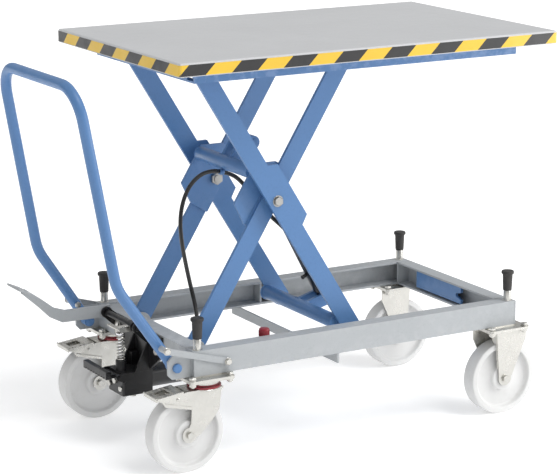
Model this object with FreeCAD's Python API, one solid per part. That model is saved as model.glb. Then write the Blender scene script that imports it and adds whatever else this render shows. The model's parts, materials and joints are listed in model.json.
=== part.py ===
"""Mobile scissor lift table: base frame on four castors, one pair of scissor arms,
a foot pump with a hydraulic cylinder, a push handle and a tray platform.

Everything is modelled about the middle of the base frame (X along the frame, +X away
from the operator, Y across it, Z up) and moved along X and Z at export, so the origin is
the bottom centre of the whole lift's box, on the floor.  "Right" is the -Y side.
The scissor is modelled raised to its top stop.
"""
import FreeCAD, Part
import math
import os

V = FreeCAD.Vector

# ---------------------------------------------------------------- driving dimensions (mm)
# base frame of channel section
FRAME_HALF_X = 490.0
FRAME_HALF_Y = 280.0
RAIL_BOTTOM = 241.0
RAIL_TOP = 306.0
RAIL_WALL = 5.5
RAIL_FLANGE = 42.0
END_FLANGE = 45.0
RAIL_MOUTH_Y = FRAME_HALF_Y - RAIL_FLANGE

# plate on edge under the side rails
CROSS_MEMBER_X = (-73.0, -67.0)
CROSS_MEMBER_DEPTH = 26.0

# red-capped lock pin on the right rail, as x, y
LOCK_PIN = (-258.0, -224.0)

# platform
DECK_LENGTH = 1110.0
DECK_WIDTH = 686.0
DECK_TOP = 1039.0
DECK_THICK = 5.0
SKIRT_HEIGHT = 34.0
SKIRT_WALL = 3.0
DECK_FOLD_RADIUS = 6.0
SUB_HALF_X = 477.0
SUB_HALF_Y = 270.0
SUB_HEIGHT = 60.0
SUB_WALL = 5.0
SUB_FLANGE = 38.0
SUB_TOP = DECK_TOP - DECK_THICK
SUB_BOTTOM = SUB_TOP - SUB_HEIGHT

# scissor linkage, raised
ARM_HALF = 430.0                 # centre pin to end pivot
PIVOT_X = -425.0                 # fixed pivots, one above the other
BASE_PIVOT_Z = 273.5
TOP_PIVOT_Z = 1004.0
ARM_WIDTH = 50.0
OUTER_ARM_Y = (182.0, 192.0)
INNER_ARM_Y = (147.0, 157.0)
LEVER_PLATE_Y = (139.0, 147.0)
GUSSET_BASE = 97.0               # welded reinforcement at the outer arms' centre pin
GUSSET_TOP = 82.0
GUSSET_RISE = 25.0
LEVER_BASE = 90.0
LEVER_TOP = 57.0
LEVER_HEIGHT = 84.0

CENTRE_PIN_R = 11.0
END_PIN_R = 10.0
STUB_R = 12.0
RUN_GAP = 0.05                   # running clearance on a radius
BASE_ROLLER_R = 26.5
TOP_ROLLER_R = 24.5
ROLLER_WIDTH = 24.0
BASE_ROLLER_Y = 243.0
TOP_ROLLER_Y = 236.0

LEVER_TUBE_R = 19.0
LEVER_TUBE = (37.0, 76.0)        # on the inner arm: along it, square to it
LOWER_TUBE_R = 19.0
LOWER_TUBE = (390.0, -28.0)      # on the outer arm
ROD_EYE = (115.0, 45.0)          # rod end pin, on the inner arm
BASE_EYE = (412.0, 50.0)         # cylinder base pin, on the outer arm
LUG_Y = (17.0, 27.0)
EYE_HALF_Y = 16.0
BARREL_R = 25.0
BARREL_BORE_R = 20.0
BARREL_START = 26.0              # from the base pin, along the cylinder
BORE_START = 34.0
BARREL_LENGTH = 270.0
GLAND_LENGTH = 26.0
PISTON_LENGTH = 20.0
ROD_R = 12.5
ROD_EYE_R = 18.0
BLEED_ALONG = 85.0

# castors
WHEEL_R = 100.0
WHEEL_Z = 95.0                   # wheel centre, in the frame's heights
WHEEL_WIDTH = 46.0
FIXED_X = 455.0
SWIVEL_X = -450.0
CASTOR_Y = 256.0
TRAIL = 57.0
SWIVEL_AXLE_X = SWIVEL_X - TRAIL
CASTOR_PLATE = (126.0, 104.0)
CASTOR_BOLTS = (105.0, 80.0)
CASTOR_TOP = 234.5
CASTOR_PLATE_T = 4.5
MOUNTING_PLATE_T = 3.5
FORK_INNER = 27.5
FORK_WALL = 3.5
SWIVEL_WEB = (203.0, 208.0)
SEAL_TOP = 214.5
AXLE_R = 6.0
BRAKE_PIVOT = (-541.0, 194.0)

# buffers on the frame's corners
POST_X = 472.0
POST_Y = 264.0
BUFFER_TOP = 388.0

# push handle
HANDLE_R = 14.0
HANDLE_FOOT = (-532.0, 268.0)
HANDLE_KNEE = (-677.0, 482.0)
HANDLE_TOP = (-767.0, 978.0)
HANDLE_FOOT_Y = 245.0
HANDLE_KNEE_Y = 233.0
HANDLE_TOP_Y = 223.0
HANDLE_KNEE_RADIUS = 130.0
HANDLE_CORNER_RADIUS = 82.0
STAY_PIN = (-568.0, 320.0)
STAY_PIN_Y = 242.1               # the tube's middle where the stay meets it
STAY_BOLT = (-397.0, 270.0)

# foot pump
PUMP_Y = -12.0
PUMP_PEDAL_Y = 150.0
PEDAL_SHAFT = (-525.0, 314.0)
PLUNGER_X = -560.0
PLUNGER_TOP = 300.7
PEDAL_TIP_X = -785.0
BRACKET_T = 8.0
PUMP_BOLTS = [(126.0, 284.0), (126.0, 262.0), (-96.0, 284.0), (-96.0, 262.0)]
BOLT_R = 5.0
BLOCK_X = (-575.0, -FRAME_HALF_X - BRACKET_T)
BLOCK_Y = (-52.0, 34.0)
BLOCK_Z = (142.0, 202.0)
RESERVOIR_R = 30.0
RESERVOIR_Z = 174.0
RELEASE_PIVOT = (-583.0, 193.0)

# hydraulic hose
HOSE_D = 11.0
HOSE_NECK_R = 6.0
PORT_ALONG = 48.0
PORT_Y = -52.0
CLIP_ANGLE = math.radians(-15.8)
CLIP_DIR = (math.cos(CLIP_ANGLE), math.sin(CLIP_ANGLE))
CLIP_HALF = 6.0
HOSE_CLIP = (-256.5, 0.0, 686.6)


def by_clip(distance):
    """A point of the hose's straight line through its clip."""
    return (HOSE_CLIP[0] + distance * CLIP_DIR[0], 0.0, HOSE_CLIP[2] + distance * CLIP_DIR[1])


# from the pump's union, under the end rail and up in a free loop to the clip
HOSE_LOWER = [(-464, 22, 224), (-424, 22, 224), (-374, 20, 226), (-334, 17, 244), (-323, 12, 288),
              (-332, 9, 340), (-347, 8, 397), (-358, 12, 455), (-365, 20, 513), (-364, 29, 569),
              (-350, 34, 620), (-328, 33, 658), (-302, 20, 684), by_clip(-20.0), by_clip(-6.0)]

# from the clip past the centre pin, along the right outer arm and in to the cylinder
HOSE_UPPER = [by_clip(CLIP_HALF), by_clip(CLIP_HALF + 31.0),
              (-200.0, -24.0, 649.0), (-188.0, -66.0, 615.0), (-178.0, -112.0, 585.0),
              (-158.0, -152.0, 557.0), (-127.0, -169.0, 518.0), (-96.0, -169.5, 471.0),
              (-68.0, -169.0, 422.0), (-40.0, -158.0, 379.0), (-6.0, -126.0, 355.0)]

ORIGIN_X = -(PEDAL_TIP_X + DECK_LENGTH / 2) / 2
ORIGIN_Z = WHEEL_R - WHEEL_Z

# ---------------------------------------------------------------- worked-out places
RISE = TOP_PIVOT_Z - BASE_PIVOT_Z
THETA = math.asin(RISE / (2 * ARM_HALF))
COS, SIN = math.cos(THETA), math.sin(THETA)
CENTRE = (PIVOT_X + ARM_HALF * COS, BASE_PIVOT_Z + ARM_HALF * SIN)
ROLLER_X = PIVOT_X + 2 * ARM_HALF * COS


# ---------------------------------------------------------------- small helpers
def box(x0, x1, y0, y1, z0, z1):
    return Part.makeBox(x1 - x0, y1 - y0, z1 - z0, V(x0, y0, z0))


def rod(start, end, r):
    a, b = V(*start), V(*end)
    return Part.makeCylinder(r, (b - a).Length, a, b - a)


def rod_y(xz, r, y0, y1):
    return rod((xz[0], y0, xz[1]), (xz[0], y1, xz[1]), r)


def rod_z(x, y, r, z0, z1):
    return rod((x, y, z0), (x, y, z1), r)


def ring_y(xz, r_out, r_in, y0, y1):
    return rod_y(xz, r_out, y0, y1).cut(rod_y(xz, r_in, y0 - 1, y1 + 1))


def prism_y(points, y0, y1):
    """A plate in the XZ plane between two Y values."""
    corners = [V(x, y0, z) for x, z in points]
    face = Part.Face(Part.makePolygon(corners + corners[:1]))
    return face.extrude(V(0, y1 - y0, 0))


def prism_x(points, x0, x1):
    """A plate in the YZ plane between two X values."""
    corners = [V(x0, y, z) for y, z in points]
    face = Part.Face(Part.makePolygon(corners + corners[:1]))
    return face.extrude(V(x1 - x0, 0, 0))


def hexagon(x, y, z, across, height, axis):
    """A hexagonal head or nut standing on a point along an axis."""
    r = across / math.sqrt(3)
    pts = [V(r * math.cos(math.radians(60 * k)), r * math.sin(math.radians(60 * k)), 0)
           for k in range(6)]
    solid = Part.Face(Part.makePolygon(pts + pts[:1])).extrude(V(0, 0, height))
    solid.Placement = FreeCAD.Placement(V(x, y, z), FreeCAD.Rotation(V(0, 0, 1), V(*axis)))
    return solid


def fuse(*shapes):
    whole = shapes[0]
    for other in shapes[1:]:
        whole = whole.fuse(other)
    return whole.removeSplitter()


def other_side(shape):
    """The same shape on the +Y side."""
    return shape.mirror(V(0, 0, 0), V(0, 1, 0))


def both_sides(shapes):
    return list(shapes) + [other_side(s) for s in shapes]


def outer(along, square):
    """A point of the outer arm (centre to lower roller is +along), as x, z."""
    return (CENTRE[0] + along * COS + square * SIN, CENTRE[1] - along * SIN + square * COS)


def inner(along, square):
    """A point of the inner arm (centre to upper roller is +along), as x, z."""
    return (CENTRE[0] + along * COS - square * SIN, CENTRE[1] + along * SIN + square * COS)


def rounded_path(points, share=0.45, radii=None):
    """Straight runs joined by tangent arcs; returns the wire and the arcs' radii."""
    edges, used = [], []
    here = points[0]
    for k in range(1, len(points) - 1):
        before, corner, after = points[k - 1], points[k], points[k + 1]
        a, b = before - corner, after - corner
        shorter = min(a.Length, b.Length)
        a.normalize()
        b.normalize()
        half_turn = (math.pi - a.getAngle(b)) / 2
        if radii is None:
            r = share * shorter / math.tan(half_turn)
        else:
            r = radii[k - 1]
        back = r * math.tan(half_turn)
        start, end = corner + a * back, corner + b * back
        bisector = a + b
        bisector.normalize()
        middle = corner + bisector * (r / math.cos(half_turn) - r)
        edges.append(Part.LineSegment(here, start).toShape())
        edges.append(Part.Arc(start, middle, end).toShape())
        used.append(r)
        here = end
    edges.append(Part.LineSegment(here, points[-1]).toShape())
    return Part.Wire(edges), used


def pipe(wire, r):
    start = wire.Edges[0].Vertexes[0].Point
    along = wire.Edges[0].tangentAt(wire.Edges[0].FirstParameter)
    disc = Part.Wire(Part.makeCircle(r, start, along))
    return wire.makePipeShell([disc], True, False)


# ---------------------------------------------------------------- base frame
def side_rail():
    web = box(-FRAME_HALF_X + RAIL_WALL, FRAME_HALF_X - RAIL_WALL,
              -FRAME_HALF_Y, -FRAME_HALF_Y + RAIL_WALL, RAIL_BOTTOM, RAIL_TOP)
    low = box(-FRAME_HALF_X + RAIL_WALL, FRAME_HALF_X - RAIL_WALL,
              -FRAME_HALF_Y, -RAIL_MOUTH_Y, RAIL_BOTTOM, RAIL_BOTTOM + RAIL_WALL)
    top = box(-FRAME_HALF_X + RAIL_WALL, FRAME_HALF_X - RAIL_WALL,
              -FRAME_HALF_Y, -RAIL_MOUTH_Y, RAIL_TOP - RAIL_WALL, RAIL_TOP)
    stay_hole = rod_y(STAY_BOLT, 5.0, -FRAME_HALF_Y - 1, -FRAME_HALF_Y + RAIL_WALL + 1)
    return fuse(web, low, top).cut(stay_hole)


def end_rail(sign, flange):
    """Channel across one end, open towards the frame's middle."""
    def span(a, b):
        return sorted((sign * a, sign * b))
    x0, x1 = span(FRAME_HALF_X - RAIL_WALL, FRAME_HALF_X)
    f0, f1 = span(FRAME_HALF_X - flange, FRAME_HALF_X - RAIL_WALL)
    web = box(x0, x1, -FRAME_HALF_Y, FRAME_HALF_Y, RAIL_BOTTOM, RAIL_TOP)
    low = box(f0, f1, -RAIL_MOUTH_Y, RAIL_MOUTH_Y, RAIL_BOTTOM, RAIL_BOTTOM + RAIL_WALL)
    top = box(f0, f1, -RAIL_MOUTH_Y, RAIL_MOUTH_Y, RAIL_TOP - RAIL_WALL, RAIL_TOP)
    return fuse(web, low, top)


def operator_end_rail():
    """The operator end is drilled for the pump bracket's bolts."""
    rail = end_rail(-1, END_FLANGE)
    for y, z in PUMP_BOLTS:
        rail = rail.cut(rod((-FRAME_HALF_X - 1, y, z), (-FRAME_HALF_X + RAIL_WALL + 1, y, z), BOLT_R))
    return rail


def far_end_rail():
    """The far end has a box gusset in each corner."""
    rail = end_rail(1, RAIL_FLANGE)
    gusset_x, gusset_t = 446.0, 6.0
    gusset = box(gusset_x, FRAME_HALF_X - RAIL_WALL, -RAIL_MOUTH_Y, -RAIL_MOUTH_Y + gusset_t,
                 RAIL_BOTTOM + RAIL_WALL, RAIL_TOP - RAIL_WALL)
    return fuse(rail, gusset, other_side(gusset))


def cross_member():
    """Plate on edge between the side rails' undersides, with one hole."""
    x0, x1 = CROSS_MEMBER_X
    z0 = RAIL_BOTTOM - CROSS_MEMBER_DEPTH
    plate = box(x0, x1, -FRAME_HALF_Y, FRAME_HALF_Y, z0, RAIL_BOTTOM)
    middle_z = RAIL_BOTTOM - CROSS_MEMBER_DEPTH / 2
    return plate.cut(rod((x0 - 1, -32.0, middle_z), (x1 + 1, -32.0, middle_z), BOLT_R))


def arm_pivot_lugs():
    """Two ears each side inside the operator end rail, either side of the inner arm."""
    z0, z1 = RAIL_BOTTOM + RAIL_WALL, RAIL_TOP - RAIL_WALL
    ears = []
    for y0, y1 in ((-169.0, -161.0), (-143.0, -135.0)):
        plate = box(-FRAME_HALF_X + RAIL_WALL, PIVOT_X, y0, y1, z0, z1)
        nose = rod_y((PIVOT_X, BASE_PIVOT_Z), (z1 - z0) / 2, y0, y1)
        hole = rod_y((PIVOT_X, BASE_PIVOT_Z), END_PIN_R, y0 - 1, y1 + 1)
        ears.append(fuse(plate, nose).cut(hole))
    return both_sides(ears)


def bolt_places(x, y):
    dx, dy = CASTOR_BOLTS[0] / 2, CASTOR_BOLTS[1] / 2
    return [(x + sx * dx, y + sy * dy) for sx in (-1, 1) for sy in (-1, 1)]


def drilled_plate(x, y, z0, z1, hole_r=5.5):
    plate = box(x - CASTOR_PLATE[0] / 2, x + CASTOR_PLATE[0] / 2,
                y - CASTOR_PLATE[1] / 2, y + CASTOR_PLATE[1] / 2, z0, z1)
    upright = [e for e in plate.Edges if abs(e.tangentAt(e.FirstParameter).z) > 0.9]
    plate = plate.makeFillet(8.0, upright)
    for bx, by in bolt_places(x, y):
        plate = plate.cut(rod_z(bx, by, hole_r, z0 - 1, z1 + 1))
    return plate


def castor_mounting_plates():
    """Drilled plate and packing pad welded under each corner."""
    plates = []
    plate_top = CASTOR_TOP + MOUNTING_PLATE_T
    for x in (SWIVEL_X, FIXED_X):
        plate = drilled_plate(x, -CASTOR_Y, CASTOR_TOP, plate_top)
        pad_x0, pad_x1 = sorted((math.copysign(FRAME_HALF_X, x), math.copysign(390.0, x)))
        pad = box(pad_x0, pad_x1, -FRAME_HALF_Y, -RAIL_MOUTH_Y, plate_top, RAIL_BOTTOM)
        plates.append(fuse(plate, pad))
    return both_sides(plates)


def buffer_places():
    return [(sx * POST_X, sy * POST_Y) for sx in (-1, 1) for sy in (-1, 1)]


def buffer_posts():
    return [rod_z(x, y, 10.0, RAIL_TOP, 335.0) for x, y in buffer_places()]


def rubber_buffers():
    """Tapered rubber with a wide head; the platform comes down onto them."""
    profile = [(0, 335), (9, 335), (11, 339), (14, 378), (17.5, 380), (17.5, 385), (15, BUFFER_TOP),
               (0, BUFFER_TOP)]
    solids = []
    for x, y in buffer_places():
        pts = [V(x + r, y, z) for r, z in profile]
        face = Part.Face(Part.makePolygon(pts + pts[:1]))
        solids.append(face.revolve(V(x, y, 0), V(0, 0, 1), 360))
    return solids


def roller_stops():
    """Upright plate in each side rail that the lower roller meets with the table raised."""
    x1 = ROLLER_X - BASE_ROLLER_R - 2.0
    stop = box(x1 - 6.0, x1, -FRAME_HALF_Y + RAIL_WALL, -RAIL_MOUTH_Y - 2.0,
               RAIL_BOTTOM + RAIL_WALL, RAIL_TOP - RAIL_WALL)
    return both_sides([stop])


def service_prop():
    """Flat bar with a forked end, stowed in the far end rail."""
    x0, thick = 456.0, 8.0
    y0, y1, z0, z1 = -70.0, 150.0, 251.0, 297.0
    bar = box(x0, x0 + thick, y0, y1, z0, z1)
    fork = prism_x([(y0 - 1, z1 - 14), (y0 + 24, z1 - 20), (y0 + 24, z0 + 18), (y0 - 1, z0 + 12)],
                   x0 - 1, x0 + thick + 1)
    pegs = [rod((x0 + thick, y, 274.0), (FRAME_HALF_X - RAIL_WALL, y, 274.0), 6.0)
            for y in (0.0, 110.0)]
    return [fuse(bar.cut(fork), *pegs)]


def lock_pin_bracket():
    """Ledge and guide tube on the right rail for the red-capped lock pin."""
    x, y = LOCK_PIN
    ledge = box(x - 20, x + 20, -RAIL_MOUTH_Y, y + 12, 292.0, 298.0)
    guide = rod_z(x, y, 10.5, 268.0, 298.0)
    return [fuse(ledge, guide).cut(rod_z(x, y, 6.0 + RUN_GAP, 260.0, 300.0))]


def lock_pin():
    x, y = LOCK_PIN
    shank = rod_z(x, y, 6.0, 262.0, 306.0)
    cap_top = 322.0
    cap = rod_z(x, y, 14.0, 300.0, cap_top)
    rim = [e for e in cap.Edges if abs(e.BoundBox.ZMin - cap_top) < 0.01]
    cap = cap.makeFillet(3.0, rim)
    return [fuse(shank, cap)]


# ---------------------------------------------------------------- castors
def fork_leg(leg_points, axle_x, hub_r, y0):
    """One pressed side plate with its axle eye and its hole, beside a wheel at y = 0."""
    leg = prism_y(leg_points, y0, y0 + FORK_WALL)
    eye = rod_y((axle_x, WHEEL_Z), hub_r, y0, y0 + FORK_WALL)
    return fuse(leg, eye).cut(rod_y((axle_x, WHEEL_Z), AXLE_R, y0 - 1, y0 + FORK_WALL + 1))


def at_y(shape, y):
    moved = shape.copy()
    moved.translate(V(0, y, 0))
    return moved


def fixed_fork():
    """Rigid castor: drilled plate and two legs, each the other turned half round the
    castor's middle, each with one edge folded in towards the wheel."""
    x = FIXED_X
    top = CASTOR_TOP - CASTOR_PLATE_T
    plate = drilled_plate(x, 0, top, CASTOR_TOP)
    edge = [(-30, top), (66, top), (66, 201), (50, 166), (36, 134), (22, 100), (-20, 100),
            (-27, 190)]
    flange = [(0, top), (22, top), (4, 130), (0, 130)]
    y_out = -FORK_INNER - FORK_WALL
    front = fork_leg([(x + dx, z) for dx, z in edge], x, 20.0, y_out)
    fold = prism_x([(-FORK_INNER + dy, z) for dy, z in flange], x - 30.0, x - 30.0 + FORK_WALL)
    front = fuse(front, fold.common(box(x - 31.0, x, -FORK_INNER, 0.0, 196.0, top)))
    back = front.copy()
    back.rotate(V(x, 0, 0), V(0, 0, 1), 180)
    return fuse(plate, front, back)


def swivel_plate():
    """Top plate with the fixed half of the ball race and the kingpin."""
    x = SWIVEL_X
    top = CASTOR_TOP - CASTOR_PLATE_T
    plate = drilled_plate(x, 0, top, CASTOR_TOP)
    race = rod_z(x, 0, 38.0, SEAL_TOP, top)
    kingpin = rod_z(x, 0, 8.0, 194.0, top)
    head = hexagon(x, 0, 192.0, 22.0, 7.0, (0, 0, 1))
    return fuse(plate, race, kingpin, head)


def swivel_seal():
    x = SWIVEL_X
    return rod_z(x, 0, 42.0, SWIVEL_WEB[1], SEAL_TOP).cut(rod_z(x, 0, 12.0, 200.0, 220.0))


def swivel_fork():
    """Turning half: race cup, web, and side plates that trail back to the axle and reach
    on to the brake pedal's pivot."""
    x, axle_x = SWIVEL_X, SWIVEL_AXLE_X
    z0, z1 = SWIVEL_WEB
    reach = FORK_INNER + FORK_WALL
    web = box(axle_x - 7, x + 39, -reach, reach, z0, z1)
    cup = rod_z(x, 0, 41.0, z0, z1)
    edge = [(-77, 192), (-68, 178), (6, 160), (4, 125), (-14, 89), (-2, 75), (28, 91), (60, 121),
            (84, 151), (90, 200), (96, z1), (-7, z1)]
    outline = [(axle_x + dx, z) for dx, z in edge]
    legs = [fork_leg(outline, axle_x, 20.0, y0) for y0 in (-reach, FORK_INNER)]
    bore = rod_z(x, 0, 8.0 + RUN_GAP, z0 - 2, z1 + 2)
    pivot = rod_y(BRAKE_PIVOT, 4.0 + RUN_GAP, -reach - 1, reach + 1)
    return fuse(web, cup, *legs).cut(bore).cut(pivot)


def brake_pedal():
    """Pressed foot pedal with a window, hinged on the fork ahead of the web."""
    px, pz = BRAKE_PIVOT
    half_y, sheet = 35.0, 3.0
    back, tip = (px + 16.0, pz + 18.0), (px - 60.0, pz + 9.0)
    tread = prism_y([back, tip, (tip[0], tip[1] - sheet), (back[0], back[1] - sheet)],
                    -half_y, half_y)
    lip = box(tip[0], tip[0] + sheet, -half_y, half_y, tip[1] - 9.0, tip[1])
    window = box(tip[0] + 14, px - 8, -16.0, 16.0, pz, pz + 24)
    side = [(back[0], back[1] - 1), (px + 6, pz - 8), (px - 8, pz - 8), (px - 56, pz + 2),
            (tip[0] + 1, tip[1] - 1)]
    cheeks = [prism_y(side, y0, y0 + sheet) for y0 in (-half_y, half_y - sheet)]
    pin = rod_y(BRAKE_PIVOT, 4.0, -half_y, half_y)
    return fuse(tread.cut(window), lip, *cheeks, pin)


def wheel(x):
    """Cast polyamide wheel: flat tread, dished web and a bored hub."""
    half = WHEEL_WIDTH / 2
    side = [(34, half + 1), (36, half - 3), (37, 12), (80, 9), (84, half - 2), (86, half),
            (97, half), (WHEEL_R, half - 3)]
    bore = AXLE_R + RUN_GAP
    profile = [(bore, half + 1)] + side + [(r, -y) for r, y in side[::-1]] + [(bore, -half - 1)]
    pts = [V(x, y, WHEEL_Z + r) for r, y in profile]
    face = Part.Face(Part.makePolygon(pts + pts[:1]))
    return face.revolve(V(x, 0, WHEEL_Z), V(0, 1, 0), 360)


def axle(x):
    reach = FORK_INNER + FORK_WALL
    shank = rod_y((x, WHEEL_Z), AXLE_R, -reach - 8.0, reach + 9.0)
    head = hexagon(x, -reach - 8.0, WHEEL_Z, 17.0, 8.0, (0, 1, 0))
    nut = hexagon(x, reach, WHEEL_Z, 17.0, 7.0, (0, 1, 0))
    return fuse(shank, head, nut)


# ---------------------------------------------------------------- push handle
def handle_corners(side):
    """Foot, knee and top corner of the tube on one side."""
    return [V(xz[0], side * y, xz[1]) for xz, y in
            ((HANDLE_FOOT, HANDLE_FOOT_Y), (HANDLE_KNEE, HANDLE_KNEE_Y), (HANDLE_TOP, HANDLE_TOP_Y))]


def push_handle():
    """One tube bent to a loop that narrows towards the push bar."""
    points = handle_corners(-1) + handle_corners(1)[::-1]
    radii = [HANDLE_KNEE_RADIUS, HANDLE_CORNER_RADIUS, HANDLE_CORNER_RADIUS, HANDLE_KNEE_RADIUS]
    wire, _ = rounded_path(points, radii=radii)
    tube = pipe(wire, HANDLE_R)
    for side in (-1, 1):
        eye = rod_y(HANDLE_FOOT, HANDLE_R, *sorted((side * 231.0, side * 259.0)))
        tube = tube.fuse(eye)
    for side in (-1, 1):
        span = sorted((side * 220.0, side * 265.0))
        tube = tube.cut(rod_y(HANDLE_FOOT, 8.0, *span)).cut(rod_y(STAY_PIN, BOLT_R, *span))
    return tube


def handle_ears():
    x1 = -FRAME_HALF_X
    outline = [(x1, 239), (x1, 303), (-540, 303), (-557, 287), (-557, 252), (-545, 239)]
    ear = prism_y(outline, -268.0, -262.0).cut(rod_y(HANDLE_FOOT, 8.0, -270.0, -260.0))
    return both_sides([ear])


def handle_pivot_pins():
    """Headed pin through each ear and tube foot."""
    shank = rod_y(HANDLE_FOOT, 8.0, -268.0, -228.0)
    head = rod_y(HANDLE_FOOT, 12.0, -276.0, -268.0)
    collar = rod_y(HANDLE_FOOT, 12.0, -262.0, -259.0)
    return both_sides([fuse(shank, head, collar)])


def handle_stays():
    """Flat bars from the handle tubes back to the side rails."""
    (x0, z0), (x1, z1) = STAY_PIN, STAY_BOLT
    length = math.hypot(x1 - x0, z1 - z0)
    nx, nz = -(z1 - z0) / length, (x1 - x0) / length
    half = 8.0
    outline = [(x0 + nx * half, z0 + nz * half), (x1 + nx * half, z1 + nz * half),
               (x1 - nx * half, z1 - nz * half), (x0 - nx * half, z0 - nz * half)]
    y0, y1 = -FRAME_HALF_Y - 6.0, -FRAME_HALF_Y
    bar = fuse(prism_y(outline, y0, y1), rod_y(STAY_PIN, half, y0, y1),
               rod_y(STAY_BOLT, half, y0, y1))
    spacer = ring_y(STAY_PIN, 8.0, 5.0, y1, -STAY_PIN_Y - HANDLE_R + 1.5)
    return both_sides([fuse(bar, spacer).cut(rod_y(STAY_PIN, 5.0, y0 - 1, -250.0))
                       .cut(rod_y(STAY_BOLT, 5.0, y0 - 1, y1 + 1)).cut(handle_clearance())])


def handle_clearance():
    """The handle's straight lower run, cut from the stay's spacer so that they seat."""
    foot, knee, _ = handle_corners(-1)
    return rod(foot, knee, HANDLE_R)


# ---------------------------------------------------------------- fasteners and fixed pins
def castor_fasteners():
    parts = []
    for x in (SWIVEL_X, FIXED_X):
        for bx, by in bolt_places(x, -CASTOR_Y):
            top, bottom = CASTOR_TOP + MOUNTING_PLATE_T, CASTOR_TOP - CASTOR_PLATE_T
            shank = rod_z(bx, by, BOLT_R, bottom - 10.0, top)
            head = hexagon(bx, by, top, 17.0, 6.0, (0, 0, 1))
            nut = hexagon(bx, by, bottom - 8.0, 17.0, 8.0, (0, 0, 1))
            parts.append(fuse(shank, head, nut))
    return both_sides(parts)


def pump_fasteners():
    """Four hexagon bolts that hold the pump bracket on the end rail."""
    parts = []
    for y, z in PUMP_BOLTS:
        x0 = -FRAME_HALF_X - BRACKET_T
        head = hexagon(x0, y, z, 17.0, 6.0, (-1, 0, 0))
        shank = rod((x0, y, z), (-FRAME_HALF_X + RAIL_WALL, y, z), 5.0)
        nut = hexagon(-FRAME_HALF_X + RAIL_WALL, y, z, 17.0, 8.0, (1, 0, 0))
        parts.append(fuse(head, shank, nut))
    return parts


def handle_fasteners():
    y_out = -FRAME_HALF_Y - 6.0
    y_nut = -STAY_PIN_Y + HANDLE_R + 0.5
    long_bolt = fuse(hexagon(STAY_PIN[0], y_out, STAY_PIN[1], 15.0, 6.0, (0, -1, 0)),
                     rod_y(STAY_PIN, BOLT_R, y_out, y_nut + 7.0),
                     hexagon(STAY_PIN[0], y_nut, STAY_PIN[1], 15.0, 7.0, (0, 1, 0)))
    short_bolt = fuse(hexagon(STAY_BOLT[0], y_out, STAY_BOLT[1], 15.0, 6.0, (0, -1, 0)),
                      rod_y(STAY_BOLT, 5.0, y_out, -FRAME_HALF_Y + RAIL_WALL),
                      hexagon(STAY_BOLT[0], -FRAME_HALF_Y + RAIL_WALL, STAY_BOLT[1], 15.0, 7.0,
                              (0, 1, 0)))
    return both_sides([long_bolt, short_bolt])


def base_pivot_pins():
    """Fixed pins that the inner arms' bushes turn on."""
    place = (PIVOT_X, BASE_PIVOT_Z)
    shank = rod_y(place, END_PIN_R, -173.0, -131.0)
    head = rod_y(place, 15.0, -173.0, -169.0)
    clip = rod_y(place, 13.0, -135.0, -132.5)
    return both_sides([fuse(shank, head, clip)])


# ---------------------------------------------------------------- foot pump

def pump_bracket():
    """Black plate bolted to the operator end rail, tapering down to the pump block, with
    two ribs and two ears for the pedal shaft."""
    x0, x1 = -FRAME_HALF_X - BRACKET_T, -FRAME_HALF_X
    y0, y1 = BLOCK_Y
    outline = [(150, 302), (-116, 302), (-116, 250), (y0, 205), (y0, BLOCK_Z[0]),
               (y1, BLOCK_Z[0]), (y1, 205), (150, 250)]
    plate = prism_x(outline, x0, x1)
    for y, z in PUMP_BOLTS:
        plate = plate.cut(rod((x0 - 1, y, z), (x1 + 1, y, z), BOLT_R))
    _, hose_y, hose_z = HOSE_LOWER[0]
    plate = plate.cut(rod((x0 - 1, hose_y, hose_z), (x1 + 1, hose_y, hose_z), HOSE_NECK_R + 0.5))
    ribs = [prism_y([(x0, BLOCK_Z[1]), (x0, 288), (x0 - 42, BLOCK_Z[1])], ya, ya + 6)
            for ya in (y0, y1 - 6)]
    ears = []
    ear_t = 7.0
    for ya in (-44.0, 136.5):
        ear = prism_y([(x1, 262), (x1, 302), (PEDAL_SHAFT[0] + 6, PEDAL_SHAFT[1] + 12),
                       (PEDAL_SHAFT[0] - 12, PEDAL_SHAFT[1] + 2),
                       (PEDAL_SHAFT[0] - 6, PEDAL_SHAFT[1] - 14)], ya, ya + ear_t)
        eye = rod_y(PEDAL_SHAFT, 15.0, ya, ya + ear_t)
        ears.append(fuse(ear, eye).cut(rod_y(PEDAL_SHAFT, 9.0 + RUN_GAP, ya - 1, ya + ear_t + 1)))
    return fuse(plate, *ribs, *ears)


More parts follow.
